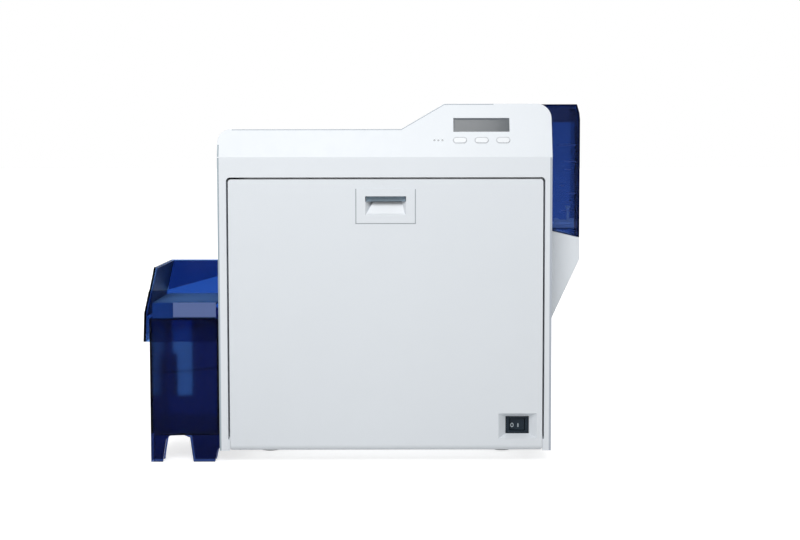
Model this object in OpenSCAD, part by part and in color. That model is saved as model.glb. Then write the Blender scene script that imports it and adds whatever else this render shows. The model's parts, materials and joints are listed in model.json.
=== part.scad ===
// Desktop card printer with a drop-down front door, a card hopper on the right
// and a card stacker on the left. Millimetres, +Z up, the front faces -Y.
// Sub-parts are drawn in machine coordinates: x from the casing's centre line,
// y from the front plane backwards, z from the table. machine() moves them to the
// model's own origin, the middle of its footprint on the table.

/* [Casing] */
// Width of the casing
body_w = 343; // [335:1:360]
// Depth of the casing, front plane to rear face
body_d = 383; // [375:1:420]
// Height of the raised right part of the top
high_h = 370.6; // [366:0.2:380]
// Rise of the raised right part over the left part
step_h = 26; // [20:0.2:30]
// Free height under the casing
foot_h = 12.6; // [11:0.2:16]
// Wall of the moulded covers
wall = 3; // [2.4:0.1:3.6]
// Where the slope in the top starts, from the centre line
slope_x0 = 17; // [10:1:22]
// Where the slope in the top ends, from the centre line
slope_x1 = 61; // [56:1:66]
// Rounding of the top left corner
corner_l = 13; // [8:1:18]
// Rounding of the top right corner
corner_r = 15; // [8:1:18]
// Height of the top cover
cap_h = 70.6; // [66:0.2:74]
// Depth of the front fascia
fascia_d = 26; // [25:0.5:30]
// Height of the control panel, crease to top
panel_h = 54.6; // [52:0.2:58]
// Lean of the control panel from upright, degrees
panel_tilt = 19; // [12:1:20]
// Gap between two fixed covers
seam = 0.3; // [0.1:0.1:0.6]

/* [Front door] */
// Gap round the door
door_gap = 2; // [1:0.1:3]
// Fascia strip left of the door
strip_l = 8.9; // [8.5:0.1:12]
// Fascia strip right of the door
strip_r = 7.2; // [7:0.1:12]
// Height of the band between the door and the crease
band_h = 22.7; // [21:0.1:26]
// Depth of the door with its rim
door_d = 16; // [15:0.5:18]
// Wall of the door
door_wall = 3; // [2.4:0.1:3.4]
// Rounding of the door's lower front edge
door_round = 6; // [3:0.5:7]
// Hinge axis behind the front plane
hinge_y = 9; // [8:0.5:10]
// Hinge axis above the door's lower edge
hinge_up = 9; // [8:0.5:10]
// Radius of the hinge pins
pin_r = 2; // [1.5:0.1:2.5]
// Running clearance round a pin or shaft
fit = 0.05; // [0.03:0.01:0.08]
// Width of the handle plate
handle_w = 60; // [54:1:66]
// Height of the handle plate
handle_h = 35.5; // [34:0.5:38]
// Width of the finger pocket
pocket_w = 41.8; // [36:0.2:44]
// Height of the finger pocket
pocket_h = 19.9; // [18:0.1:21]

/* [Power switch] */
// Switch centre in from the casing's right side
switch_in = 34.5; // [33.5:0.5:40]
// Switch centre above the table
switch_z = 38.2; // [37.5:0.1:39.5]
// Width of the switch
switch_w = 24.3; // [22:0.1:26]
// Height of the switch
switch_h = 18; // [16:0.1:18.5]

/* [Control panel] */
// Middle of the display in from the casing's right side
lcd_in = 72.2; // [70:0.1:75]
// Middle of the display above the crease, along the panel
lcd_up = 34.7; // [33:0.1:36]
// Width of the display window
lcd_w = 57.6; // [54:0.2:60]
// Height of the display window
lcd_h = 15; // [13:0.2:16]
// Height of the buttons and lamps above the crease, along the panel
row_up = 18; // [16.5:0.1:19]
// Spacing of the buttons
button_pitch = 22.2; // [18:0.1:23]
// Width of a button
button_w = 13.2; // [11:0.1:15]
// Height of a button
button_h = 5.6; // [5:0.1:6.5]
// Travel of a button
button_travel = 0.8; // [0.4:0.1:1.2]
// Spacing of the lamps
lamp_pitch = 4.1; // [3.2:0.1:4.6]

/* [Hopper] */
// How far the hopper stands out of the casing
hop_out = 32.4; // [30:0.2:36]
// Front of the hopper behind the front plane
hop_y = 40; // [38:1:42]
// Depth of the hopper
hop_d = 72; // [70:1:76]
// Wall of the clear plastic parts
clear_wall = 2.4; // [2:0.1:2.8]
// Lowest corner of the hopper cover below the card path
hop_tail = 9.4; // [8:0.1:12]
// Rise of the hopper cover's lower edge towards the casing
hop_rise = 7.8; // [6:0.1:8]
// Height of the bracket's outer face
bracket_h = 23.7; // [18:0.1:30]
// Height of the bracket's sloping part
bracket_drop = 70; // [60:1:80]
// Card length
card_l = 85.6; // [85.6:0.1:86]
// Card width
card_w = 54; // [54:0.1:54.4]
// Card thickness
card_t = 0.76; // [0.5:0.01:1]
// Free space round a card
card_gap = 1; // [0.6:0.1:1.4]

/* [Stacker] */
// How far the stacker's tray stands out of the casing
stack_out = 72.2; // [70:0.2:76]
// How far the hood's lower lip stands out of the casing
lip_out = 78.1; // [77:0.1:84]
// Front of the tray behind the front plane
stack_y = 6; // [5:0.5:8]
// Depth of the tray
stack_d = 118; // [114:1:119]
// How far the tray reaches into the casing
stack_in = 21; // [20:0.5:23]
// Top of the hood below the card path
hood_drop = 38; // [34:1:44]
// Height of the hood, lip to top
hood_high = 77; // [74:1:82]
// Height of the legs up to the tray's floor
leg_h = 28; // [25:1:32]
// Depth of the legs
leg_d = 18; // [14:1:30]
// Width of the viewing slot in the tray's rear wall
view_w = 21.5; // [16:0.5:26]
// Lower end of the viewing slot above the table
view_z = 52; // [44:1:60]
// Card rest's lower edge above the hood's lip
rest_up = 22; // [18:1:26]
// Lift that frees the stacker from its hooks
stack_lift = 10; // [6:0.5:12]

/* [Print engine] */
// Card path below the top of the casing
path_drop = 129.6; // [129:0.1:129.8]
// Front of the engine plate
plate_y = 130; // [130:1:134]
// Sheet thickness of the steel parts
sheet = 2; // [1.5:0.1:2.4]
// Radius of the roller shafts
shaft_r = 3; // [2.5:0.1:3.5]
// Radius of the feed rollers
feed_r = 7; // [6.5:0.1:7.4]
// Radius of the pick roller
pick_r = 9; // [8:0.1:9.5]
// Radius of the heat roller
heat_r = 14.5; // [14:0.1:15]
// Radius of the backup roller
backup_r = 10; // [8:0.1:11]
// Radius of the platen roller
platen_r = 10; // [9:0.1:11]
// Radius of the spool shafts
spool_r = 5; // [4.5:0.1:5.5]
// Width of the film and the ribbon
web_w = 62; // [58:1:64]
// Thickness of the film and the ribbon, as drawn
web_t = 0.3; // [0.2:0.05:0.35]
// Gap between a web and what guides it
web_gap = 0.5; // [0.45:0.05:0.7]
// Radius of the timing pulleys
pulley_r = 8; // [7:0.1:8.5]
// Thickness of the timing belt
belt_t = 1.4; // [1:0.1:1.8]
// Teeth of the motor pinion
pinion_teeth = 15; // [14:1:16]
// Teeth of the driven gear
gear_teeth = 45; // [44:1:46]
// Module of the gear teeth
gear_module = 0.8; // [0.6:0.05:0.9]

/* [Rear] */
// Side of the square fan
fan_w = 80; // [70:1:85]
// Depth of the fan
fan_d = 25; // [20:1:28]
// Fan centre in from the casing's left side
fan_in = 81.5; // [75:0.5:95]
// Fan centre below the top of the casing
fan_drop = 134.6; // [130:0.2:150]

/* [Hidden] */
$fn = 48;

// Where machine coordinates sit in the model's frame.
centre_x = (lip_out - hop_out) / 2;
front_y = -body_d / 2;
half_w = body_w / 2;
back = body_d - wall;

// Heights that follow from the casing's.
low_h = high_h - step_h;
split_z = high_h - cap_h;
crease_z = high_h - panel_h;
door_top = crease_z - band_h;
path_z = high_h - path_drop;
fan_z = high_h - fan_drop;
hop_low = path_z - hop_tail;
hop_in = hop_low + hop_rise;
bracket_z1 = hop_low - bracket_h;
bracket_z0 = bracket_z1 - bracket_drop;
hood_h = path_z - hood_drop;
lip_z = hood_h - hood_high;
rest_z = lip_z + rest_up;
slope_a = atan(step_h / (slope_x1 - slope_x0));

// Places along the casing that follow from its width.
switch_x = half_w - switch_in;
lcd_x = half_w - lcd_in;
fan_x = half_w - fan_in;

white = [0.93, 0.94, 0.95];
pale = [0.86, 0.88, 0.90];
steel = [0.72, 0.74, 0.76];
dark = [0.10, 0.11, 0.13];
blue = [0.10, 0.16, 0.50, 0.6];
navy = [0.06, 0.09, 0.35, 0.7];

// ---- helpers -------------------------------------------------------------

module machine() { translate([centre_x, front_y, 0]) children(); }

// A box between two corners.
module block(a, b) { translate(a) cube(b - a); }

// A flat (x, z) drawing made solid between two depths.
module slab(y0, y1) { translate([0, y1, 0]) rotate([90, 0, 0]) linear_extrude(y1 - y0) children(); }

// A (y, z) drawing made solid between two x values.
module across(x0, x1) { translate([x0, 0, 0]) rotate([90, 0, 90]) linear_extrude(x1 - x0) children(); }

module rod_y(x, z, r, y0, y1) { translate([x, y0, z]) rotate([-90, 0, 0]) cylinder(r = r, h = y1 - y0); }

module rod_x(y, z, r, x0, x1) { translate([x0, y, z]) rotate([0, 90, 0]) cylinder(r = r, h = x1 - x0); }

module rod_z(x, y, r, z0, z1) { translate([x, y, z0]) cylinder(r = r, h = z1 - z0); }

// A rectangle with round corners.
module round_rect(x0, x1, z0, z1, r) {
    translate([x0 + r, z0]) square([x1 - x0 - 2 * r, z1 - z0]);
    translate([x0, z0 + r]) square([x1 - x0, z1 - z0 - 2 * r]);
    for (x = [x0 + r, x1 - r], z = [z0 + r, z1 - r]) translate([x, z]) circle(r);
}

// The casing's outline from the front, moved inwards by inset.
module outline(inset = 0) {
    w = half_w - inset;
    lo = foot_h + inset;
    top_l = low_h - inset;
    top_r = high_h - inset;
    shift = inset * tan(slope_a / 2);
    rl = corner_l - inset;
    rr = corner_r - inset;
    polygon([[-w, lo], [w, lo], [w, top_r - rr], [w - rr, top_r], [slope_x1 + shift, top_r],
             [slope_x0 + shift, top_l], [rl - w, top_l], [-w, top_l - rl]]);
    translate([w - rr, top_r - rr]) circle(rr);
    translate([rl - w, top_l - rl]) circle(rl);
}

// The covers' shell between two depths.
module shell(y0, y1) {
    difference() {
        slab(y0, y1) outline();
        slab(y0 - 1, y1 + 1) outline(wall);
    }
}

// Coordinates on the leaning control panel: x, up the panel, out of the panel.
module on_panel() { translate([0, 0, crease_z]) rotate([90 - panel_tilt, 0, 0]) children(); }

// All that lies in front of the control panel's face moved back by depth.
module before_panel(depth) { on_panel() block([-body_w, -60, -depth], [body_w, 120, 90]); }

// A pill outline centred on the origin.
module pill(w, h) {
    square([w - h, h], center = true);
    for (s = [-1, 1]) translate([s * (w - h) / 2, 0]) circle(h / 2);
}

// ---- casing --------------------------------------------------------------

base_z = foot_h + wall;
rear_gap = 0.3;
cover_y = fascia_d + seam;
side_w = 30;

// The recess for the stacker in the left side.
recess_x = stack_in - half_w + 1;
recess_y0 = cover_y + 1.7;
recess_y1 = stack_y + stack_d + 2.5;
recess_top = path_z + 21;
recess_wall = 2.7;
hook_y = [52, 98];
hook_w = 8;
hook_z = lip_z + 2;
hook_h = 14;
hook_x = recess_x + recess_wall + seam;
hook_t = 2;
hook_tip = 8;

// The hopper's opening and what fits in it.
hop_y1 = hop_y + hop_d;
hop_x = half_w + hop_out;
hop_left = hop_x - clear_wall - card_l - 2 * card_gap - 2;
hop_gap = 0.5;
lid_axis_x = hop_left + 2;
lid_axis_z = high_h - clear_wall - 3.8;
lid_sweep = 7;

module base_plate() {
    edge = half_w - wall - seam;
    rise = 18;
    color(steel) {
        difference() {
            block([-edge, cover_y, base_z], [edge, back - seam, base_z + sheet]);
            block([-half_w, 0, 0], [recess_x + recess_wall + seam, recess_y1 + wall, base_z + 10]);
            for (x = foot_x, y = foot_y) rod_z(x, y, foot_pin_r, 0, base_z + 10);
        }
        block([-edge, recess_y1 + wall, base_z], [sheet - edge, back - seam, base_z + rise]);
        block([edge - sheet, cover_y + 2 * sheet, base_z], [edge, back - seam, base_z + rise]);
    }
}

foot_x = [46.5 - half_w, half_w - 46.5];
foot_y = [78, body_d - 17];
foot_r = 11;
foot_pin_r = 3;

module rubber_feet() {
    color(dark) for (x = foot_x, y = foot_y) {
        rod_z(x, y, foot_r, 0, base_z);
        rod_z(x, y, foot_pin_r - fit, base_z, base_z + sheet);
        rod_z(x, y, foot_pin_r + 1.5, base_z + sheet, base_z + sheet + 1.5);
    }
}

module left_side_cover() {
    color(white) difference() {
        union() {
            intersection() {
                shell(cover_y, body_d);
                block([-half_w, 0, 0], [side_w - half_w, body_d, split_z]);
            }
            block([-half_w, cover_y, foot_h], [recess_x + recess_wall, recess_y1 + wall, recess_top + wall]);
        }
        block([-half_w - 1, recess_y0, 0], [recess_x, recess_y1, recess_top]);
        block([recess_x - 1, card_mid - web_w / 2, path_z - 3],
              [recess_x + wall + 1, card_mid + web_w / 2, path_z + 6]);
        for (y = hook_y) block([recess_x - 1, y - hook_w / 2 - 1, hook_z - 4],
                               [recess_x + wall + 1, y + hook_w / 2 + 1, hook_z + hook_h + stack_lift + 1]);
        block([-half_w - 1, recess_y0, 0], [side_w - half_w + 1, recess_y1, foot_h + wall]);
    }
}

module right_side_cover() {
    color(white) difference() {
        intersection() {
            shell(cover_y, body_d);
            block([half_w - side_w, 0, 0], [half_w, body_d, split_z]);
        }
        block([half_w - wall - 1, hop_y - hop_gap, bracket_z0 + 30], [half_w + 1, hop_y1 + hop_gap, split_z + 1]);
    }
}

module top_cover() {
    color(white) difference() {
        intersection() {
            shell(cover_y, body_d);
            block([-half_w, 0, split_z + seam], [half_w, body_d, high_h]);
        }
        block([lid_axis_x - lid_sweep, hop_y - hop_gap, split_z], [half_w + 1, hop_y1 + hop_gap, high_h + 1]);
    }
}

inlet_x = 56.5 - half_w;
inlet_z = 55;
ports_x = half_w - 96.5;
ports_w = 62;
ports_z = base_z + sheet + 8;
ports_h = 22;
grille_r = fan_w / 2 - 4;
grille_pitch = 8;

module rear_cover() {
    color(pale) difference() {
        slab(body_d - wall + rear_gap, body_d) outline(wall + seam);
        block([inlet_x - 14, back - 1, inlet_z - 10], [inlet_x + 14, body_d + 1, inlet_z + 10]);
        block([ports_x - ports_w / 2, back - 1, ports_z - 1],
              [ports_x + ports_w / 2, body_d + 1, ports_z + ports_h]);
        for (k = [-4:4]) {
            reach = sqrt(grille_r * grille_r - k * k * grille_pitch * grille_pitch);
            block([-fan_x - reach, back - 1, fan_z + k * grille_pitch - 2.4],
                  [-fan_x + reach, body_d + 1, fan_z + k * grille_pitch + 2.4]);
        }
        for (p = screw_places) rod_y(p[0], p[1], screw_r + 0.2, back - 1, body_d + 1);
    }
}

screw_r = 1.5;
screw_in = 16.5;
screw_places = [
    [screw_in - half_w, 40], [half_w - screw_in, 40],
    [screw_in - half_w, split_z - 10], [half_w - screw_in, split_z - 10],
    [-60, low_h - 14.6], [100, high_h - 15.6]];

module rear_screws() {
    color(steel) for (p = screw_places) {
        rod_y(p[0], p[1], screw_r, back - 8, body_d);
        rod_y(p[0], p[1], screw_r * 1.9, body_d, body_d + 1);
    }
}

// ---- front ---------------------------------------------------------------

door_x0 = strip_l + door_gap - half_w;
door_x1 = half_w - strip_r - door_gap;
door_mid = (door_x0 + door_x1) / 2;
hinge_z = foot_h + hinge_up;
rim = 2.2;
lug_h = 20;
pin_in = 5;
pin_out = 10;

module door_hole(grow = 0) {
    x0 = door_x0 - door_gap - grow;
    x1 = door_x1 + door_gap + grow;
    round_rect(x0, x1, -30, door_top + door_gap + grow, 4 + grow);
}

lamps = [-1, 0, 1];
button_x = [lcd_x - button_pitch, lcd_x, lcd_x + button_pitch];
lamp_x = lcd_x - 44.3;
lamp_r = 1;
key_gap = 0.25;

module front_fascia() {
    color(white) difference() {
        union() {
            difference() {
                slab(0, fascia_d) outline();
                difference() {
                    slab(wall, fascia_d + 1) outline(wall);
                    before_panel(wall);
                    slab(0, fascia_d + 2) door_hole(rim);
                    block([-half_w, 0, 0], [half_w, fascia_d + 2, foot_h + lug_h]);
                }
                slab(-1, fascia_d + 1) door_hole();
            }
            for (s = [-1, 1]) {
                edge = s < 0 ? door_x0 : door_x1;
                block([min(edge + s * seam, edge + s * (door_gap + 1)), 0.6, foot_h],
                      [max(edge + s * seam, edge + s * (door_gap + 1)), 3.4, foot_h + lug_h - 8]);
            }
        }
        before_panel(0);
        on_panel() {
            translate([lcd_x, lcd_up, -wall - 1]) linear_extrude(wall + 2)
                square([lcd_w, lcd_h], center = true);
            for (x = button_x) translate([x, row_up, -wall - 1]) linear_extrude(wall + 2)
                pill(button_w + 2 * key_gap, button_h + 2 * key_gap);
            for (k = lamps) translate([lamp_x + k * lamp_pitch, row_up, -wall - 1])
                cylinder(r = lamp_r + fit, h = wall + 2);
        }
        rod_x(hinge_y, hinge_z, pin_r + 0.02, door_x0 - door_gap - pin_in, door_x0);
        rod_x(hinge_y, hinge_z, pin_r + 0.02, door_x1, door_x1 + door_gap + pin_in);
    }
}

module hinge_pins() {
    color(steel) {
        rod_x(hinge_y, hinge_z, pin_r, door_x0 - door_gap - pin_in + 0.3, door_x0 + pin_out - 0.3);
        rod_x(hinge_y, hinge_z, pin_r, door_x1 - pin_out + 0.3, door_x1 + door_gap + pin_in - 0.3);
        rod_y(lid_axis_x, lid_axis_z, pin_r, hop_y + 1.3, ear_y[0] + ear_t);
        rod_y(lid_axis_x, lid_axis_z, pin_r, ear_y[1], hop_y1 - 1.3);
    }
}

// The face of the door from the front, and its section from the side.
module door_face() { round_rect(door_x0, door_x1, foot_h, door_top, 3); }

module door_section() {
    translate([door_round, foot_h]) square([door_d - door_round, door_top - foot_h]);
    translate([0, foot_h + door_round]) square([door_d, door_top - foot_h - door_round]);
    translate([door_round, foot_h + door_round]) circle(door_round);
}

funnel_w = switch_w + 15.4;
funnel_h = switch_h + 8.3;
funnel_d = 8;
handle_top = door_top - 9.4;
pocket_top = handle_top - 8;
pocket_wall = 1.6;
finger_slot = 5.4;
pocket_floor_w = 26.6;
liner_y = 12;
liner_t = 2.4;
liner_z0 = foot_h + 49;
boss_r = 4;
low_rim = 11;
door_boss = [
    for (x = [door_x0 + 14, door_x1 - 14], z = [liner_z0 + 12, liner_z0 + 110, door_top - 36]) [x, z]];
magnet_r = 6;
magnet_x = [door_x0 + 22, door_x1 - 22];
magnet_z = door_top - 18;

// The bevelled way in to the switch, grown by grow.
module funnel(grow = 0) {
    hull() {
        translate([switch_x, -0.01 - grow / 4, switch_z])
            cube([funnel_w + 2 * grow, 0.02, funnel_h + 2 * grow], center = true);
        translate([switch_x, funnel_d, switch_z])
            cube([switch_w + 2 * grow, 0.02, switch_h + 2 * grow], center = true);
    }
}

module door_panel() {
    color(white) difference() {
        union() {
            difference() {
                intersection() {
                    slab(0, door_d) door_face();
                    across(door_x0, door_x1) door_section();
                }
                block([door_x0 + door_wall, door_wall, foot_h + door_wall],
                      [door_x1 - door_wall, door_d + 1, door_top - door_wall]);
                block([door_x0 - 1, low_rim, 0], [door_x1 + 1, door_d + 1, foot_h + lug_h + 1]);
            }
            for (p = door_boss) rod_y(p[0], p[1], boss_r, door_wall - 0.5, liner_y);
            for (s = [-1, 1]) {
                x = s < 0 ? door_x0 : door_x1 - pin_out;
                out = door_gap - seam;
                rod_x(hinge_y, hinge_z, 5, s < 0 ? x - out : x, s < 0 ? x + pin_out : x + pin_out + out);
                block([x, 1.5, hinge_z - 5], [x + pin_out, hinge_y, hinge_z + 5]);
            }
            intersection() {
                funnel(2);
                block([0, 0, 0], [half_w, funnel_d, door_top]);
            }
        }
        funnel();
        translate([switch_x, funnel_d, switch_z]) cube([switch_w, 1, switch_h], center = true);
        rod_x(hinge_y, hinge_z, pin_r + fit, door_x0 - door_gap, door_x0 + pin_out);
        rod_x(hinge_y, hinge_z, pin_r + fit, door_x1 - pin_out, door_x1 + door_gap);
        for (p = door_boss) rod_y(p[0], p[1], screw_r, liner_y - 7, liner_y + 1);
        handle_box(0.15, -1, door_d);
    }
}

// The box behind the handle plate, grown by grow.
module handle_box(grow, y0, y1) {
    w = pocket_w / 2 + pocket_wall + grow;
    block([door_mid - w, y0, pocket_top - pocket_h - pocket_wall - grow],
          [door_mid + w, y1, pocket_top + pocket_wall + grow]);
}

module door_handle() {
    z0 = pocket_top - pocket_h;
    color(white) difference() {
        union() {
            slab(-0.8, 0)
                round_rect(door_mid - handle_w / 2, door_mid + handle_w / 2,
                           handle_top - handle_h, handle_top, 1.5);
            handle_box(0, -0.4, liner_y - 0.3);
        }
        block([door_mid - pocket_w / 2, -1, pocket_top - finger_slot],
              [door_mid + pocket_w / 2, liner_y + 1, pocket_top]);
        hull() {
            translate([door_mid, -1, (z0 + pocket_top) / 2]) cube([pocket_w, 0.02, pocket_h], center = true);
            translate([door_mid, liner_y - 2, pocket_top - finger_slot / 2 - 1.5])
                cube([pocket_floor_w, 0.02, finger_slot - 1], center = true);
        }
    }
}

module door_liner() {
    x0 = door_x0 + door_wall + 0.4;
    x1 = door_x1 - door_wall - 0.4;
    color(pale) difference() {
        slab(liner_y, liner_y + liner_t) round_rect(x0, x1, liner_z0, door_top - door_wall - 0.4, 3);
        handle_box(1, liner_y - 1, liner_y + 5);
        for (p = door_boss) rod_y(p[0], p[1], screw_r + 0.1, liner_y - 1, liner_y + 5);
        for (x = magnet_x) rod_y(x, magnet_z, magnet_r + 0.02, liner_y - 1, liner_y + 5);
    }
}

module door_screws() {
    color(steel) for (p = door_boss) {
        rod_y(p[0], p[1], screw_r - 0.02, liner_y - 6, liner_y + liner_t);
        rod_y(p[0], p[1], screw_r * 1.8, liner_y + liner_t, liner_y + liner_t + 1.2);
    }
}

module door_magnets() {
    color(dark) for (x = magnet_x) rod_y(x, magnet_z, magnet_r, liner_y, door_d + 0.5);
}

frame_rail = 27.5;

module front_frame() {
    x0 = recess_x + recess_wall + seam;
    x1 = half_w - wall - seam;
    color(steel) {
        difference() {
            block([x0, cover_y, base_z + sheet], [x1, cover_y + sheet, crease_z - 4]);
            slab(cover_y - 1, cover_y + sheet + 1)
                round_rect(frame_rail - half_w, half_w - frame_rail, 56, crease_z - 54, 4);
        }
        for (x = magnet_x) rod_y(x, magnet_z, magnet_r + 1, door_d + 0.8, cover_y);
    }
}

// ---- control panel and switch ---------------------------------------------

board_drop = 8;
board_t = 1.6;

module lcd_window() {
    color([0.35, 0.38, 0.40]) on_panel() translate([lcd_x, lcd_up, -1.9]) linear_extrude(1.2)
        square([lcd_w - 0.2, lcd_h - 0.2], center = true);
}

module lcd_module() {
    color(dark) on_panel() {
        translate([lcd_x, lcd_up, -1.9 - 0.3 - (board_drop - 2.2)]) linear_extrude(board_drop - 2.2)
            square([lcd_w - 0.6, lcd_h - 0.6], center = true);
    }
}

module control_board() {
    color([0.05, 0.35, 0.20]) on_panel() {
        translate([lamp_x - 12, 6, -board_drop - board_t])
            cube([half_w - wall - 4 - lamp_x, lcd_up + 4, board_t]);
        for (x = [lamp_x - 8, half_w - wall - 20])
            translate([x, 26, -board_drop]) cylinder(r = 3, h = board_drop - wall);
    }
}

module lamp_light_pipes() {
    color([0.75, 0.78, 0.76]) on_panel() for (k = lamps)
        translate([lamp_x + k * lamp_pitch, row_up, -board_drop]) cylinder(r = lamp_r, h = board_drop - 0.1);
}

module key(i) {
    travel = button_travel + 0.3;
    color(white) on_panel() translate([button_x[i], row_up, 0]) {
        translate([0, 0, -wall - 1]) linear_extrude(wall + 1 + 0.6) pill(button_w, button_h);
        translate([0, 0, -wall - 1.6]) linear_extrude(1.2) pill(button_w + 3, button_h + 3);
        translate([0, 0, travel - board_drop]) cylinder(r = 1.4, h = board_drop - travel - wall);
    }
}

module button_left() { key(0); }
module button_middle() { key(1); }
module button_right() { key(2); }

rock_y = 13.5;
rock_w = 15;
rock_h = 12;
rock_gap = 0.6;
rock_pin_r = 1.25;

module switch_housing() {
    y0 = funnel_d + 1.6;
    hw = switch_w / 2 + 1.5;
    hh = switch_h / 2 + 1.5;
    color(dark) difference() {
        block([switch_x - hw, y0, switch_z - hh], [switch_x + hw, cover_y, switch_z + hh]);
        block([switch_x - rock_w / 2 - rock_gap, y0 - 1, switch_z - rock_h / 2 - 0.4],
              [switch_x + rock_w / 2 + rock_gap, y0 + 11, switch_z + rock_h / 2 + 0.4]);
        rod_z(switch_x, rock_y, rock_pin_r + fit, switch_z - hh + 1, switch_z + hh - 1);
    }
}

module switch_rocker() {
    y0 = funnel_d + 1.8;
    color(dark) {
        translate([0, 0, switch_z - rock_h / 2]) linear_extrude(rock_h) polygon([
            [switch_x - rock_w / 2, y0 + 2.6], [switch_x, y0 + 1.6], [switch_x + rock_w / 2, y0 + 0.9],
            [switch_x + rock_w / 2 - 0.8, y0 + 5], [switch_x, rock_y + 3],
            [switch_x - rock_w / 2 + 0.8, y0 + 5.4]]);
        rod_z(switch_x, rock_y, rock_pin_r, switch_z - rock_h / 2 - 2, switch_z + rock_h / 2 + 2);
    }
}

// ---- hopper --------------------------------------------------------------

card_mid = hop_y + hop_d / 2;
guide_t = 2;
floor_t = 1.6;
space_w = card_w + 2 * card_gap;
lid_lip = 18;
ear_r = 3.4;
ear_t = 5;
ear_y = [hop_y + 12.4, hop_y1 - 12.4 - ear_t];
pick_x = hop_left + 38;
pick_w = 28;

module hopper_bracket() {
    color(white) difference() {
        slab(hop_y, hop_y1) polygon([
            [half_w, hop_in - seam], [hop_x, hop_low - seam], [hop_x, bracket_z1], [half_w, bracket_z0]]);
        slab(hop_y + wall, hop_y1 - wall) polygon([
            [half_w - 1, hop_in - 4], [hop_x - wall, hop_low - 4],
            [hop_x - wall, bracket_z1 + 1.5], [half_w - 1, bracket_z0 + 5]]);
    }
}

module hopper_frame() {
    y0 = card_mid - space_w / 2;
    y1 = card_mid + space_w / 2;
    left_top = lid_axis_z - lid_lip + 4;
    x_in = half_w - wall - 1;
    color(pale) difference() {
        union() {
            block([hop_left, y0 - guide_t, path_z - floor_t],
                  [hop_x - clear_wall - hop_gap, y1 + guide_t, path_z]);
            block([half_w + 1, y0 + 4, hop_in - seam], [half_w + 8, y1 - 4, path_z - floor_t / 2]);
            block([hop_left, y0 - guide_t, path_z - floor_t], [hop_left + guide_t, y1 + guide_t, left_top]);
            for (y = [y0 - guide_t, y1])
                block([hop_left, y, path_z - floor_t], [x_in, y + guide_t, left_top - 8]);
            for (x = [hop_left + 4, x_in - 14])
                block([x, y1 + guide_t - 0.5, path_z + 6], [x + 10, plate_y, path_z + 20]);
            for (y = ear_y) {
                block([lid_axis_x - ear_r, y, left_top - 3], [lid_axis_x + ear_r, y + ear_t, lid_axis_z]);
                rod_y(lid_axis_x, lid_axis_z, ear_r, y, y + ear_t);
            }
        }
        block([pick_x - pick_r - 1, card_mid - pick_w / 2 - 1, path_z - 3],
              [pick_x + pick_r + 1, card_mid + pick_w / 2 + 1, path_z + 1]);
        block([hop_left - 1, y0, path_z], [hop_left + guide_t + 1, y1, path_z + card_t + 0.2]);
        for (y = ear_y) rod_y(lid_axis_x, lid_axis_z, pin_r + 0.02, y - 1, y + ear_t + 1);
    }
}

lid_left = lid_axis_x - 2;
boss_w = 11;

// The hopper cover's outline from the front, with its outer top corner eased off.
module lid_outline() {
    polygon([[lid_left, high_h], [hop_x - 3.3, high_h], [hop_x - 0.7, high_h - 9], [hop_x, high_h - 16],
             [hop_x, hop_low], [half_w + 0.6, hop_in], [half_w + 0.6, high_h - lid_lip],
             [lid_left, high_h - lid_lip]]);
}

module lid_hollow() {
    in = clear_wall;
    polygon([[lid_left - 1, high_h - in], [hop_x - 3.3 - in / 2, high_h - in], [hop_x - 0.7 - in, high_h - 9],
             [hop_x - in, high_h - 16], [hop_x - in, hop_low - 1], [lid_left - 1, hop_low - 1]]);
}

module hopper_cover() {
    boss_y = [hop_y + 1, hop_y1 - boss_w - 1];
    color(blue) difference() {
        union() {
            difference() {
                slab(hop_y, hop_y1) lid_outline();
                slab(hop_y + clear_wall, hop_y1 - clear_wall) lid_hollow();
            }
            for (y = boss_y) {
                rod_y(lid_axis_x, lid_axis_z, ear_r, y, y + boss_w);
                block([lid_left, y, lid_axis_z], [lid_axis_x + 2, y + boss_w, high_h - clear_wall / 2]);
            }
        }
        for (y = boss_y) rod_y(lid_axis_x, lid_axis_z, pin_r + fit, y - 2, y + boss_w + 1);
    }
}

module card_weight() {
    x0 = hop_left + guide_t + 0.5;
    x1 = hop_x - clear_wall - 0.6;
    z0 = path_z + 0.3;
    bar_y = card_mid - card_w / 2 + 5;
    post_x = half_w + 24;
    color([0.55, 0.57, 0.62]) {
        block([x0, card_mid - card_w / 2 + 1, z0], [x1, card_mid + card_w / 2 - 1, z0 + 4]);
        rod_x(bar_y, z0 + 6, 2.2, half_w + 9, x1 - 1.5);
        for (x = [half_w + 7, x1 - 6]) rod_x(bar_y, z0 + 6, 3.6, x, x + 5);
        rod_z(post_x, card_mid, 1.2, z0 + 4, z0 + 20);
        rod_z(post_x, card_mid, 2.6, z0 + 20, z0 + 22);
    }
}

// ---- card path -----------------------------------------------------------

feed_z = path_z - feed_r;
entry_x = hop_left - 26.9;
middle_x = entry_x - 55;
exit_x = recess_x + 31.5;
heat_x = middle_x - 50;
heat_z = path_z - heat_r - 1;
backup_z = path_z + card_t + 0.1 + backup_r;
pinch_z = path_z + card_t + 0.04 + feed_r;
pinch_x = entry_x;
platen_x = middle_x - 10;
platen_z = path_z - 91;
side_y = hop_y - 2;
film_supply = [heat_x - 10, path_z - 143];
film_takeup = [exit_x + 6, path_z - 111];
film_guide = [(heat_x + film_takeup[0]) / 2 - 9, path_z - 41];
ribbon_supply = [entry_x + 13, path_z - 56];
ribbon_takeup = [entry_x + 13, path_z - 141];
guide_r = 4;
ribbon_x = platen_x + platen_r + 3 * web_gap + web_t;
ribbon_guides = [for (s = [1, -1]) [ribbon_x + guide_r + web_gap - web_t, platen_z + 22 * s]];
path_ties = [[exit_x - 18, path_z - 13], [middle_x + 28, path_z + 13], [hop_left + 6.1, path_z - 15]];
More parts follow.
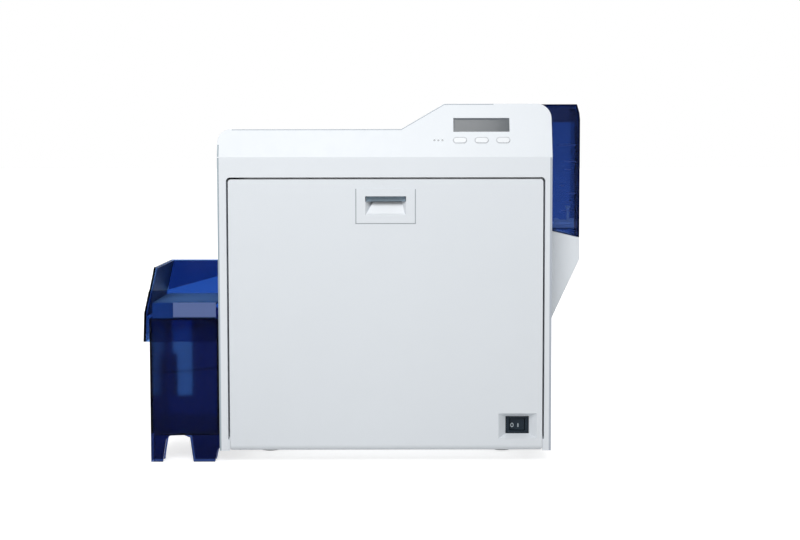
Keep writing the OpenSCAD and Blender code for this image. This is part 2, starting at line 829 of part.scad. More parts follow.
shafts = [[pick_x, path_z - pick_r], [entry_x, feed_z], [middle_x, feed_z], [exit_x, feed_z],
          [heat_x, heat_z], [heat_x, backup_z], [pinch_x, pinch_z], [platen_x, platen_z]];
spools = [film_supply, film_takeup, ribbon_supply, ribbon_takeup];
shaft_y0 = side_y - 2;
shaft_y1 = plate_y + sheet + 1;
roll_y0 = card_mid - 30;
roll_y1 = card_mid + 30;
pulley_y0 = plate_y + sheet + 1.5;
pulley_y1 = pulley_y0 + 11;
gear_y0 = pulley_y1 + 1;
gear_w = 5;
motor_side = 42;
motor_y = gear_y0 + gear_w + 3;
axle_gap = gear_module * (gear_teeth + pinion_teeth) / 2 + 0.12;
mesh_a = -60;
belt_w = 4;
belt_gap = 0.3;
motor_x = entry_x + axle_gap * cos(mesh_a);
motor_z = feed_z + axle_gap * sin(mesh_a);

module engine_plate() {
    x1 = half_w - wall - 4;
    color(steel) difference() {
        union() {
            block([-x1, plate_y, base_z + sheet], [x1, plate_y + sheet, low_h - wall - 4]);
            block([-x1, plate_y, base_z + sheet], [x1, plate_y + 16, base_z + 2 * sheet]);
        }
        for (p = shafts) rod_y(p[0], p[1], shaft_r + fit, plate_y - 1, plate_y + sheet + 1);
        for (p = spools) rod_y(p[0], p[1], spool_r + fit, plate_y - 1, plate_y + sheet + 1);
    }
}

module path_side_plate() {
    color(steel) {
        difference() {
            union() {
                block([recess_x + recess_wall + 4, side_y, path_z - 22],
                      [half_w - wall - 8, side_y + sheet, path_z + 21]);
                block([platen_x - 7.5, side_y, platen_z - 12],
                      [platen_x + 8, side_y + sheet, path_z - 21]);
            }
            for (p = shafts) rod_y(p[0], p[1], shaft_r + fit, side_y - 1, side_y + sheet + 1);
        }
        for (p = path_ties) rod_y(p[0], p[1], 4, side_y + sheet, plate_y);
    }
}

slot_gap = 1.5;

module card_guides() {
    x0 = recess_x + recess_wall + 3;
    x1 = hop_left - 1;
    lower = [[middle_x, feed_r], [entry_x, feed_r], [exit_x, feed_r], [heat_x, heat_r]];
    upper = [[pinch_x, feed_r], [heat_x, backup_r]];
    color(steel) {
        difference() {
            block([x0, side_y + sheet, path_z - 1.5], [x1, plate_y, path_z - 0.3]);
            for (p = lower) block([p[0] - p[1] - slot_gap, roll_y0 - slot_gap, path_z - 2],
                                  [p[0] + p[1] + slot_gap, roll_y1 + slot_gap, path_z]);
        }
        difference() {
            block([x0, side_y + sheet, path_z + 1.3], [x1, plate_y, path_z + 2.5]);
            for (p = upper) block([p[0] - p[1] - slot_gap, roll_y0 - slot_gap, path_z],
                                  [p[0] + p[1] + slot_gap, roll_y1 + slot_gap, path_z + 3]);
        }
    }
}

// A roller on its shaft, with a pulley behind the engine plate where driven.
module roller(x, z, r, y0, y1, tone, driven) {
    color(tone) rod_y(x, z, r, y0, y1);
    color(steel) rod_y(x, z, shaft_r, shaft_y0, driven ? pulley_y1 : shaft_y1);
    if (driven) color(dark) rod_y(x, z, pulley_r, pulley_y0, pulley_y1);
}

rubber = [0.16, 0.16, 0.17];

module pick_roller() {
    roller(pick_x, path_z - pick_r, pick_r, card_mid - pick_w / 2, card_mid + pick_w / 2, rubber, true);
}

module middle_roller() { roller(middle_x, feed_z, feed_r, roll_y0, roll_y1, rubber, true); }
module exit_roller() { roller(exit_x, feed_z, feed_r, roll_y0, roll_y1, rubber, true); }
module entry_pinch_roller() { roller(pinch_x, pinch_z, feed_r, roll_y0, roll_y1, pale, false); }
module platen_roller() { roller(platen_x, platen_z, platen_r, roll_y0, roll_y1, rubber, false); }
module heat_roller() { roller(heat_x, heat_z, heat_r, roll_y0, roll_y1, [0.45, 0.20, 0.12], false); }
module backup_roller() { roller(heat_x, backup_z, backup_r, roll_y0, roll_y1, steel, false); }

// A spur gear outline with a tooth centred on +x.
module gear_face(teeth) {
    pitch = gear_module * teeth / 2;
    tip = pitch + gear_module * 0.9;
    root = pitch - gear_module * 1.2;
    step = 360 / teeth;
    tooth = [[root, -0.36], [pitch, -0.22], [tip, -0.11], [tip, 0.11], [pitch, 0.22], [root, 0.36]];
    polygon([for (i = [0:teeth - 1], c = tooth) c[0] * [cos((i + c[1]) * step), sin((i + c[1]) * step)]]);
}

module entry_roller() {
    roller(entry_x, feed_z, feed_r, roll_y0, roll_y1, rubber, true);
    color(pale) slab(gear_y0, gear_y0 + gear_w)
        translate([entry_x, feed_z]) rotate(mesh_a) gear_face(gear_teeth);
    color(steel) rod_y(entry_x, feed_z, shaft_r, pulley_y1, gear_y0 + gear_w);
}

module motor_pinion() {
    color([0.75, 0.62, 0.30]) difference() {
        slab(gear_y0, gear_y0 + gear_w) translate([motor_x, motor_z])
            rotate(mesh_a + 180 + 180 / pinion_teeth) gear_face(pinion_teeth);
        rod_y(motor_x, motor_z, 2.5 + fit, gear_y0 - 1, gear_y0 + gear_w + 1);
    }
}

module motor(x, z, y0, depth, post_y, posts) {
    h = motor_side / 2;
    color(dark) block([x - h, y0, z - h], [x + h, y0 + depth, z + h]);
    color(steel) {
        rod_y(x, z, 2.5, y0 - 9, y0);
        for (s = posts) rod_y(x + s[0] * 15.5, z + s[1] * 15.5, 3, post_y, y0);
    }
}

module transport_motor() {
    motor(motor_x, motor_z, motor_y, 34, plate_y + sheet, [[-1, -1], [1, -1]]);
}

module spool_motors() {
    for (p = [film_takeup, ribbon_takeup])
        motor(p[0], p[1], plate_y + sheet + 12, 26, plate_y + sheet, [[-1, -1], [1, -1], [-1, 1], [1, 1]]);
}

// The outline of a loop round two equal pulleys.
function half_turn(p, r, a, n = 18) = [for (k = [0:n]) p + r * [cos(a + 180 * k / n), sin(a + 180 * k / n)]];
function loop_points(a, b, r) =
    let (lean = atan2(b[1] - a[1], b[0] - a[0]))
        concat(half_turn(a, r, lean + 90), half_turn(b, r, lean - 90));

module belt(a, b, y0) {
    slab(y0, y0 + belt_w) difference() {
        polygon(loop_points(a, b, pulley_r + belt_gap + belt_t));
        polygon(loop_points(a, b, pulley_r + belt_gap));
    }
}

module timing_belt() {
    color(dark) {
        belt(shafts[1], shafts[0], pulley_y0 + 0.8);
        belt(shafts[2], shafts[1], pulley_y0 + 6);
        belt(shafts[3], shafts[2], pulley_y0 + 0.8);
    }
}

// ---- print engine --------------------------------------------------------

fin_pitch = 3.8;

module thermal_head() {
    x0 = ribbon_x + 2 * web_gap - 0.1;
    color(steel) difference() {
        union() {
            block([x0, roll_y0 - 1, platen_z - 10], [x0 + 30, roll_y1 + 1, platen_z + 10]);
            block([x0 + 6, roll_y1 + 1, platen_z - 7], [x0 + 28, plate_y, platen_z + 7]);
        }
        for (k = [-2:2]) block([x0 + 12, roll_y0 - 2, platen_z + k * fin_pitch - 1],
                               [x0 + 31, roll_y1 - 4, platen_z + k * fin_pitch + 1]);
    }
}

// The points of a web that runs round discs [x, z, radius], each on its right side.
function leave_a(p, q) = atan2(q[1] - p[1], q[0] - p[0]);
function side_a(p, q) = leave_a(p, q) + acos((q[2] - p[2]) / norm([q[0] - p[0], q[1] - p[1]]));
function on_disc(p, a) = [p[0] - p[2] * cos(a), p[1] - p[2] * sin(a)];
function grow(discs, by) = [for (p = discs) [p[0], p[1], p[2] + by]];
function web_points(d, n = 6) = [
    for (i = [0:len(d) - 1])
        let (a0 = i == 0 ? side_a(d[0], d[1]) : side_a(d[i - 1], d[i]),
             a1 = i == len(d) - 1 ? a0 : side_a(d[i], d[i + 1]),
             turn = a1 - a0 < 0 ? a1 - a0 + 360 : a1 - a0)
            each (i == 0 || i == len(d) - 1
                ? [on_disc(d[i], a0)] : [for (k = [0:n]) on_disc(d[i], a0 + turn * k / n)])];

module web(discs) {
    inner = web_points(grow(discs, web_gap));
    outer = web_points(grow(discs, web_gap + web_t));
    slab(card_mid - web_w / 2 + 2, card_mid + web_w / 2 - 2)
        polygon(concat(inner, [for (i = [len(outer) - 1:-1:0]) outer[i]]));
}

film_roll_r = [32, 24];
ribbon_roll_r = [20, 14];
cassette_y = [side_y - 2, card_mid + web_w / 2 + 1];
cassette_t = 2;
tie_r = 3;
film_rim = 4;
film_ties = [
    [film_supply[0] - film_roll_r[0] - 13, film_supply[1] - 22],
    [heat_x - 25, film_guide[1] - 12], [heat_x + 16, film_guide[1] - 24]];
film_low = film_supply[1] - film_roll_r[0] - film_rim;
film_high = film_guide[1] + 3 * film_rim;
film_left = film_takeup[0] - film_roll_r[1] - 5;
film_right = platen_x - platen_r - 2;

module transfer_film() {
    color([0.80, 0.82, 0.70]) web([
        [film_supply[0], film_supply[1], film_roll_r[0]],
        [platen_x, platen_z, platen_r], [heat_x, heat_z, heat_r],
        [film_guide[0], film_guide[1], guide_r], [film_takeup[0], film_takeup[1], film_roll_r[1]]]);
}

module ink_ribbon() {
    color([0.55, 0.12, 0.35]) web([
        [ribbon_supply[0], ribbon_supply[1], ribbon_roll_r[0]],
        [ribbon_guides[0][0], ribbon_guides[0][1], guide_r],
        [ribbon_guides[1][0], ribbon_guides[1][1], guide_r],
        [ribbon_takeup[0], ribbon_takeup[1], ribbon_roll_r[1]]]);
}

module film_cassette_frame() {
    color([0.30, 0.34, 0.42]) {
        for (y = cassette_y) difference() {
            slab(y, y + cassette_t) polygon([
                [film_left, film_low + 22], [film_supply[0] - film_roll_r[0], film_low],
                [film_supply[0] + film_roll_r[0] - 8, film_low], [film_right, film_low + 28],
                [film_right, film_high], [film_guide[0] - 17, film_high],
                [film_left, film_takeup[1] + film_roll_r[1] + film_rim]]);
            rod_y(heat_x, heat_z, heat_r + 4, y - 1, y + 4);
            rod_y(platen_x, platen_z, platen_r + 4, y - 1, y + 4);
            for (p = [film_supply, film_takeup]) rod_y(p[0], p[1], spool_r + fit, y - 1, y + 4);
        }
        for (p = film_ties) rod_y(p[0], p[1], tie_r, cassette_y[0] + cassette_t, cassette_y[1]);
        rod_y(film_guide[0], film_guide[1], guide_r, cassette_y[0] + cassette_t, cassette_y[1]);
    }
}

ribbon_low = ribbon_takeup[1] - ribbon_roll_r[1] - 8;
ribbon_high = ribbon_supply[1] + ribbon_roll_r[0] + 3;
ribbon_right = ribbon_supply[0] + ribbon_roll_r[0] + 4;

module ribbon_cassette_frame() {
    x0 = ribbon_x + 2 * web_gap + 1;
    color([0.30, 0.34, 0.42]) {
        for (y = cassette_y) difference() {
            slab(y, y + cassette_t) polygon([
                [x0 - 1, ribbon_guides[1][1] - 10], [ribbon_takeup[0] - 16, ribbon_low],
                [ribbon_right, ribbon_low], [ribbon_right, ribbon_high],
                [ribbon_supply[0] - 16, ribbon_high], [x0 - 1, ribbon_guides[0][1] + 10]]);
            for (p = [ribbon_supply, ribbon_takeup]) rod_y(p[0], p[1], spool_r + fit, y - 1, y + 4);
            if (y > card_mid) block([0, y - 1, platen_z - 13], [x0 + 34, y + 4, platen_z + 13]);
        }
        rod_y(ribbon_takeup[0] + 14, platen_z - 7, tie_r, cassette_y[0] + cassette_t, cassette_y[1]);
        for (p = ribbon_guides) rod_y(p[0], p[1], guide_r, cassette_y[0] + cassette_t, cassette_y[1]);
    }
}

// A spool with what is wound on it, on its shaft.
module spool(p, r, tone, driven) {
    y0 = cassette_y[0] + cassette_t + 0.5;
    y1 = cassette_y[1] - 0.5;
    color(pale) rod_y(p[0], p[1], 9, y0, y1);
    color(tone) rod_y(p[0], p[1], r, card_mid - web_w / 2 + 1, card_mid + web_w / 2 - 1);
    color(steel) difference() {
        union() {
            rod_y(p[0], p[1], spool_r, cassette_y[0] - 1, plate_y + sheet + (driven ? 9 : 3));
            rod_y(p[0], p[1], spool_r + 2, plate_y + sheet + 0.3, plate_y + sheet + 3);
        }
        if (driven) rod_y(p[0], p[1], 2.5 + fit, plate_y + sheet + 1, plate_y + sheet + 14);
    }
}

module film_supply_spool() { spool(film_supply, film_roll_r[0], [0.80, 0.82, 0.70], false); }
module film_takeup_spool() { spool(film_takeup, film_roll_r[1], [0.80, 0.82, 0.70], true); }
module ribbon_supply_spool() { spool(ribbon_supply, ribbon_roll_r[0], [0.55, 0.12, 0.35], false); }
module ribbon_takeup_spool() { spool(ribbon_takeup, ribbon_roll_r[1], [0.30, 0.15, 0.30], true); }

// ---- stacker -------------------------------------------------------------

tray_x = -half_w - stack_out;
tray_y1 = stack_y + stack_d;
tray_edge = -half_w - 0.6;
tray_in = recess_x - 0.5;
tray_h = lip_z + 24;
tray_step = recess_y0 + 0.5;

module tray_plan(inset) {
    polygon([[tray_x + inset, stack_y + inset], [tray_edge - inset, stack_y + inset],
             [tray_edge - inset, tray_step + inset], [tray_in - inset, tray_step + inset],
             [tray_in - inset, tray_y1 - inset], [tray_x + inset, tray_y1 - inset]]);
}

view_x = tray_x + 7;
view_step = 5;
view_step_h = 47;

module stacker_tray() {
    inner_y1 = tray_y1 - clear_wall;
    color(navy) difference() {
        union() {
            difference() {
                translate([0, 0, leg_h]) linear_extrude(tray_h - leg_h) tray_plan(0);
                translate([0, 0, leg_h + clear_wall]) linear_extrude(tray_h) tray_plan(clear_wall);
            }
            for (y = [stack_y, stack_y + leg_d - clear_wall]) difference() {
                block([tray_x, y, 0], [tray_edge, y + clear_wall, leg_h + 1]);
                slab(y - 1, y + clear_wall + 1) translate([tray_x, 0]) polygon([
                    [12.3, -1], [13.7, leg_h * 0.35], [16.2, leg_h * 0.86], [20.2, leg_h - 0.5], [34.7, leg_h],
                    [40.7, leg_h - 2.5], [42.7, leg_h * 0.35], [44.3, -1]]);
                slab(y - 1, y + clear_wall + 1) translate([tray_edge, 0]) polygon([
                    [-5.2, -1], [-2.3, foot_h], [1, foot_h + 3], [1, -1]]);
            }
            block([tray_x, stack_y, 0], [tray_x + clear_wall, stack_y + leg_d, leg_h + 1]);
            for (y = hook_y) {
                block([tray_in - 1, y - hook_w / 2, hook_z],
                      [hook_x + hook_t, y + hook_w / 2, hook_z + hook_h]);
                block([hook_x, y - hook_w / 2, hook_z - hook_tip],
                      [hook_x + hook_t, y + hook_w / 2, hook_z + 1]);
            }
        }
        slab(inner_y1 - 1, tray_y1 + 1) polygon([
            [view_x + view_step, view_z], [view_x + view_w, view_z], [view_x + view_w, tray_h + 1],
            [view_x, tray_h + 1], [view_x, view_z + view_step_h], [view_x + view_step, view_z + view_step_h]]);
    }
}

hood_y0 = stack_y - seam - clear_wall;
hood_y1 = tray_y1 + seam + clear_wall;

// The front wall's upper edge below the hood's top: level on the left, then rising.
cut_low = 24;
cut_high = 8.6;
cut_w = 22;

module hood_side(inset) {
    lip = -half_w - lip_out + inset;
    top = hood_h + 1;
    polygon([[lip, lip_z], [lip + 1.1, lip_z + 30], [lip + 9.1, lip_z + 66], [lip + 11.5, top],
             [tray_edge + inset, top], [tray_edge + inset, lip_z]]);
}

module stacker_hood() {
    color(blue) difference() {
        slab(hood_y0, hood_y1) hood_side(0);
        for (dz = [-1, 0, 2]) translate([0, 0, dz]) slab(hood_y0 + clear_wall, hood_y1 - clear_wall)
            hood_side(clear_wall);
        slab(hood_y0 - 1, hood_y0 + clear_wall + 1) polygon([
            [-half_w - lip_out, hood_h - cut_low], [cut_w - half_w - lip_out, hood_h - cut_low],
            [tray_edge + 1, hood_h - cut_high],
            [tray_edge + 1, hood_h + 9], [-half_w - lip_out, hood_h + 9]]);
        block([-half_w - lip_out - 1, hood_y0 - 1, hood_h], [tray_edge + 1, hood_y1 + 1, hood_h + 9]);
    }
}

module card_rest() {
    gap = 0.6;
    color(pale) {
        translate([0, 0, rest_z + 15.6]) linear_extrude(2.4) tray_plan(clear_wall + gap);
        block([tray_x + clear_wall + gap, stack_y + clear_wall + gap, rest_z],
              [tray_edge - clear_wall - gap, stack_y + 2 * clear_wall + gap, rest_z + 17]);
    }
}

// ---- electrics at the rear -------------------------------------------------

supply_w = 132;
supply_d = 143;
supply_h = 62;
supply_back = 25;
supply_in = 19.5;
supply_x = [supply_in - half_w, supply_in + supply_w - half_w];
supply_y = [body_d - supply_back - supply_d, body_d - supply_back];
supply_floor = base_z + sheet;
vent_pitch = 12;
vent_d = 7;

module power_supply() {
    color(steel) difference() {
        block([supply_x[0], supply_y[0], supply_floor], [supply_x[1], supply_y[1], supply_floor + supply_h]);
        for (k = [1:10])
            block([supply_x[0] + k * vent_pitch, supply_y[0] + 10, supply_floor + supply_h - vent_d],
                  [supply_x[0] + (k + 0.5) * vent_pitch, supply_y[1] - 13, supply_floor + supply_h + 1]);
    }
}

socket_w = 24;
socket_h = 16;
socket_wall = 1.7;
socket_y0 = supply_y[1] + 6;

module power_inlet() {
    w = socket_w / 2;
    h = socket_h / 2;
    color(dark) difference() {
        block([inlet_x - w - socket_wall, supply_y[1], inlet_z - h - socket_wall],
              [inlet_x + w + socket_wall, body_d - 0.4, inlet_z + h + socket_wall]);
        block([inlet_x - w, socket_y0, inlet_z - h], [inlet_x + w, body_d, inlet_z + h]);
    }
    color(steel) for (dx = [-7, 0, 7])
        block([inlet_x + dx - 1, socket_y0 - 1, inlet_z - 2], [inlet_x + dx + 1, socket_y0 + 14, inlet_z + 2]);
}

board_w = 75;
board_d = 172;
board_back = 11;
board_gap = 25;
board_x = [supply_x[1] + board_gap, ports_x + board_w];
board_y = [body_d - board_back - board_d, body_d - board_back];
board_z = supply_floor + 6;
port_y0 = board_y[1] - 12;
port_in = 2;
port_x = [[ports_x - ports_w / 2 + port_in, ports_x - 4], [ports_x + 6, ports_x + ports_w / 2 - 2 * port_in]];
port_h = [14, 12];
port_rim = [3, 2.5];
port_floor = 2.5;
port_roof = [2.5, 2];

// Square parts on the board: across from the ports, back from its edge, side.
chips = [[-35, 40, 28], [20, 50, 20], [-15, 100, 16], [40, 105, 24]];

module main_board() {
    top = board_z + board_t;
    color([0.05, 0.35, 0.20]) block([board_x[0], board_y[0], board_z], [board_x[1], board_y[1], top]);
    color(steel) {
        for (x = [board_x[0] + 7, board_x[1] - 7], y = [board_y[0] + 7, board_y[1] - 10])
            rod_z(x, y, 3, supply_floor, board_z);
        for (k = [0, 1]) difference() {
            block([port_x[k][0], port_y0, top], [port_x[k][1], body_d - 0.4, top + port_h[k]]);
            block([port_x[k][0] + port_rim[k], port_y0 + 8, top + port_floor],
                  [port_x[k][1] - port_rim[k], body_d, top + port_h[k] - port_roof[k]]);
        }
    }
    color(dark) for (c = chips)
        block([ports_x + c[0], board_y[0] + c[1], top], [ports_x + c[0] + c[2], board_y[0] + c[1] + c[2], top + 3]);
}

fan_y1 = back + rear_gap;
fan_y0 = fan_y1 - fan_d;
blades = 7;

module fan_frame() {
    h = fan_w / 2;
    color(dark) {
        difference() {
            block([-fan_x - h, fan_y0, fan_z - h], [-fan_x + h, fan_y1, fan_z + h]);
            rod_y(-fan_x, fan_z, h - 2, fan_y0 - 1, fan_y1 + 1);
        }
        rod_y(-fan_x, fan_z, 15, fan_y0, fan_y0 + 2);
        for (a = [45, 135]) translate([-fan_x, fan_y0, fan_z]) rotate([0, a, 0])
            translate([2 - h, 0, -1.5]) cube([fan_w - 4, 2, 3]);
        rod_y(-fan_x, fan_z, 2, fan_y0 + 2, fan_y1 - 4);
    }
}

module fan_rotor() {
    h = fan_w / 2;
    color([0.2, 0.2, 0.22]) difference() {
        union() {
            rod_y(-fan_x, fan_z, 15, fan_y0 + 3, fan_y1 - 3);
            for (k = [1:blades])
                translate([-fan_x, (fan_y0 + fan_y1) / 2, fan_z]) rotate([0, k * 360 / blades, 0])
                    translate([13, 0, 0]) rotate([40, 0, 0]) translate([0, -9, -0.8]) cube([h - 17, 18, 1.6]);
        }
        rod_y(-fan_x, fan_z, 2 + fit, fan_y0 + 2, fan_y1 - 3.5);
    }
}

// ---- what is drawn --------------------------------------------------------

machine() base_plate();
machine() rubber_feet();
machine() front_frame();
machine() engine_plate();
machine() path_side_plate();
machine() card_guides();
machine() left_side_cover();
machine() right_side_cover();
machine() top_cover();
machine() rear_cover();
machine() front_fascia();
machine() control_board();
machine() lcd_module();
machine() lcd_window();
machine() lamp_light_pipes();
machine() button_left();
machine() button_middle();
machine() button_right();
machine() switch_housing();
machine() switch_rocker();
machine() door_panel();
machine() door_liner();
machine() door_handle();
machine() door_magnets();
machine() door_screws();
machine() hinge_pins();
machine() hopper_bracket();
machine() hopper_frame();
machine() hopper_cover();
machine() card_weight();
machine() pick_roller();
machine() entry_roller();
machine() middle_roller();
machine() exit_roller();
machine() entry_pinch_roller();
machine() timing_belt();
machine() transport_motor();
machine() motor_pinion();
machine() platen_roller();
machine() thermal_head();
machine() heat_roller();
machine() backup_roller();
machine() film_cassette_frame();
machine() film_supply_spool();
machine() film_takeup_spool();
machine() transfer_film();
machine() ribbon_cassette_frame();
machine() ribbon_supply_spool();
machine() ribbon_takeup_spool();
machine() ink_ribbon();
machine() spool_motors();
machine() stacker_tray();
machine() stacker_hood();
machine() card_rest();
machine() power_supply();
machine() power_inlet();
machine() main_board();
machine() fan_frame();
machine() fan_rotor();
machine() rear_screws();
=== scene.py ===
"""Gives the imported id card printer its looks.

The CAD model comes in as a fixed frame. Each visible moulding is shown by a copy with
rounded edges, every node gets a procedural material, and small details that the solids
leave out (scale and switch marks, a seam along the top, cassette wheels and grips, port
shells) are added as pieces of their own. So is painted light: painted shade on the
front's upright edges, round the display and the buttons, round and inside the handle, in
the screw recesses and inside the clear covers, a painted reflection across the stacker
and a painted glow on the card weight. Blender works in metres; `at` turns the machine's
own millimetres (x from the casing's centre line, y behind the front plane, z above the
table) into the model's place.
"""

import json
import math

import bmesh
import bpy
from mathutils import Euler, Matrix, Vector


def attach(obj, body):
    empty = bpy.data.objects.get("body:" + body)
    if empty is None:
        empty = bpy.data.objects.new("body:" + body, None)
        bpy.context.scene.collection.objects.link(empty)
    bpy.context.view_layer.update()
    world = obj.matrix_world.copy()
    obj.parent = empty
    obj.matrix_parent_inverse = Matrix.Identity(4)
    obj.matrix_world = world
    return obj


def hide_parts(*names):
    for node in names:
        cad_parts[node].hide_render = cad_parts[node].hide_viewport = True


MM = 0.001
MACHINE_ZERO = (22.85, -191.5)  # the casing's centre line and front plane in the model
MERGE = 1e-6  # points nearer to each other than this many metres are one point

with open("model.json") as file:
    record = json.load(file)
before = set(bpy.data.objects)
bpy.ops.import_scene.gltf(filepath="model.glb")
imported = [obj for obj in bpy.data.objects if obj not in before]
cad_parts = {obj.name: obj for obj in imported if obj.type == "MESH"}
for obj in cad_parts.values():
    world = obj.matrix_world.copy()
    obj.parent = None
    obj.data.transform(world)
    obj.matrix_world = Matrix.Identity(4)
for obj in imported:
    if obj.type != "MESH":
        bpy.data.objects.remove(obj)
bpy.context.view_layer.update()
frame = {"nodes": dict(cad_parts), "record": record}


def at(x, y, z):
    """A place in the machine's millimetres, in the model's metres."""
    return Vector(((x + MACHINE_ZERO[0]) * MM, (y + MACHINE_ZERO[1]) * MM, z * MM))


def linked(name, data):
    """A new object, linked to the scene."""
    made = bpy.data.objects.new(name, data)
    bpy.context.scene.collection.objects.link(made)
    return made


def set_inputs(node, values):
    for socket, value in values.items():
        node.inputs[socket].default_value = value


# ---- materials ---------------------------------------------------------------

CLEAR_IOR = 1.47
CLEAR_SHINE = (0.1, 0.1, 0.12, 1)  # a plain one washes the blues out with the studio's white
DEPTH_TINT = (0.15, 0.25, 0.5, 1)  # what a long way through clear plastic leaves of the light
# The colour of a painted glow, for parts that light reaches only through clear plastic.
PAINTED_GLOW_COLOUR = (0.8, 0.85, 1.0, 1)
WEB_LAYERS = (0.2, 6, 0.2)  # squeezes noise into thin layers, stacked along y
ROLLING_LINES = (0.06, 1, 1)  # stretches noise into lines along x

FINISHES = {}


class Finish:
    """A material under construction: one Principled shader with its texture nodes."""

    def __init__(self, name, colour, rough, metal=0.0):
        self.material = bpy.data.materials.new(name)
        self.material.use_nodes = True
        self.tree = self.material.node_tree
        self.shader = self.tree.nodes["Principled BSDF"]
        self.colour = colour
        self.rough = rough
        self.set({"Base Color": (*colour, 1), "Roughness": rough, "Metallic": metal})
        self.place = self.node("ShaderNodeTexCoord").outputs["Object"]
        FINISHES[name] = self.material

    def node(self, kind, inputs=None, **settings):
        made = self.tree.nodes.new(kind)
        for key, value in settings.items():
            setattr(made, key, value)
        set_inputs(made, inputs or {})
        return made

    def link(self, source, target):
        self.tree.links.new(source, target)

    def set(self, values):
        set_inputs(self.shader, values)

    def noise(self, size, detail, stretch=(1, 1, 1)):
        """Noise whose features are about size metres across."""
        mapping = self.node("ShaderNodeMapping", {"Scale": stretch})
        self.link(self.place, mapping.inputs["Vector"])
        made = self.node("ShaderNodeTexNoise", {"Scale": 1 / size, "Detail": detail})
        self.link(mapping.outputs["Vector"], made.inputs["Vector"])
        return made.outputs["Fac"]

    def vary_colour(self, value, amount):
        """Lets the colour drift darker and lighter by amount of itself."""
        darker = [c * (1 - amount) for c in self.colour]
        lighter = [min(1, c * (1 + amount)) for c in self.colour]
        mix = self.node("ShaderNodeMix", {"A": (*darker, 1), "B": (*lighter, 1)}, data_type="RGBA")
        self.link(value, mix.inputs["Factor"])
        self.link(mix.outputs["Result"], self.shader.inputs["Base Color"])

    def vary_rough(self, value, amount):
        """Lets the roughness drift down and up by amount."""
        span = {"To Min": self.rough - amount, "To Max": self.rough + amount}
        made = self.node("ShaderNodeMapRange", span)
        self.link(value, made.inputs["Value"])
        self.link(made.outputs["Result"], self.shader.inputs["Roughness"])

    def bump(self, value, depth, strength=1.0):
        made = self.node("ShaderNodeBump", {"Distance": depth, "Strength": strength})
        self.link(value, made.inputs["Height"])
        self.link(made.outputs["Normal"], self.shader.inputs["Normal"])


def moulded(name, colour, rough=0.42, depth=0.00003, shine=0.5, painted_glow=0.0):
    """Opaque plastic with a fine spark-eroded texture and faint handling marks. With a glow, it
    also has a painted glow: emission that stands for light reaching the part through clear
    plastic.
    """
    made = Finish(name, colour, rough)
    made.set({"Specular IOR Level": shine})
    if painted_glow:
        made.set({"Emission Color": PAINTED_GLOW_COLOUR, "Emission Strength": painted_glow})
    made.vary_colour(made.noise(0.06, 2), 0.012)
    made.vary_rough(made.noise(0.012, 4), 0.06)
    made.bump(made.noise(0.0005, 2), depth)


def plain(name, colour, rough=0.5, shine=0.5):
    """Opaque plastic without the texture, for small marks, seams and seals."""
    moulded(name, colour, rough, depth=0.0, shine=shine)


def see_through(name, tint, rough=0.06, density=0, clear=1.0):
    """Clear tinted plastic, polished; with a density, deeper places are darker."""
    made = Finish(name, tint, rough)
    if density:
        inside = made.node("ShaderNodeVolumeAbsorption", {"Color": DEPTH_TINT, "Density": density})
        made.link(inside.outputs["Volume"], made.tree.nodes["Material Output"].inputs["Volume"])
    made.set({"Transmission Weight": clear, "IOR": CLEAR_IOR, "Specular Tint": CLEAR_SHINE})
    made.vary_rough(made.noise(0.02, 3), 0.02)
    made.bump(made.noise(0.015, 1), 0.00003, 0.5)


def steel(name, colour, rough):
    """Zinc-plated sheet: metallic, with rolling lines along x and a soft spangle."""
    made = Finish(name, colour, rough, metal=0.9)
    made.vary_colour(made.noise(0.008, 2), 0.08)
    made.vary_rough(made.noise(0.0006, 2, ROLLING_LINES), 0.08)
    made.bump(made.noise(0.0006, 2, ROLLING_LINES), 0.00001)


def rubber(name, colour, rough):
    made = Finish(name, colour, rough)
    made.vary_colour(made.noise(0.01, 3), 0.12)
    made.bump(made.noise(0.0004, 3), 0.00005)


def film(name, colour):
    """Wound or stretched web: glossy, with the fine lines of its layers."""
    made = Finish(name, colour, 0.22)
    made.set({"Coat Weight": 0.5})
    made.vary_colour(made.noise(0.004, 2, (1, 0.05, 1)), 0.05)
    made.bump(made.noise(0.0012, 2, WEB_LAYERS), 0.00002)


def board(name):
    """Green solder mask over copper tracks."""
    made = Finish(name, (0.015, 0.13, 0.055), 0.35)
    made.set({"Coat Weight": 0.4})
    tracks = made.node("ShaderNodeTexBrick", {
        "Scale": 70,
        "Color1": (0.012, 0.11, 0.045, 1),
        "Color2": (0.015, 0.14, 0.06, 1),
        "Mortar": (0.05, 0.26, 0.10, 1),
        "Mortar Size": 0.012,
    })
    made.link(made.place, tracks.inputs["Vector"])
    made.link(tracks.outputs["Color"], made.shader.inputs["Base Color"])
    made.bump(tracks.outputs["Fac"], 0.00003)


moulded("casing_white", (0.79, 0.83, 0.87))
moulded("door_white", (0.77, 0.81, 0.85), rough=0.38)
moulded("inner_grey", (0.60, 0.63, 0.67), rough=0.5)
moulded("key_white", (0.80, 0.83, 0.86), rough=0.3, depth=0.00001)
moulded("black_plastic", (0.008, 0.017, 0.028), rough=0.45, depth=0.00005, shine=0.2)
moulded("cassette_grey", (0.10, 0.12, 0.17), rough=0.4)
# The card weight has a painted glow: it stands for the light that reaches it through the clear
# hopper cover.
moulded("weight_grey", (0.55, 0.57, 0.62), rough=0.4, painted_glow=0.35)
# Painted shade: the dark sheet along the inside of the stacker hood's left wall.
moulded("wall_shade_blue", (0.014, 0.038, 0.14), rough=0.4, shine=0.15)
plain("lcd_glass", (0.085, 0.098, 0.11), rough=0.12, shine=0.35)
plain("lamp_clear", (0.30, 0.32, 0.33), rough=0.15)
plain("scale_mark", (0.42, 0.44, 0.76))
plain("switch_mark", (0.42, 0.47, 0.51))
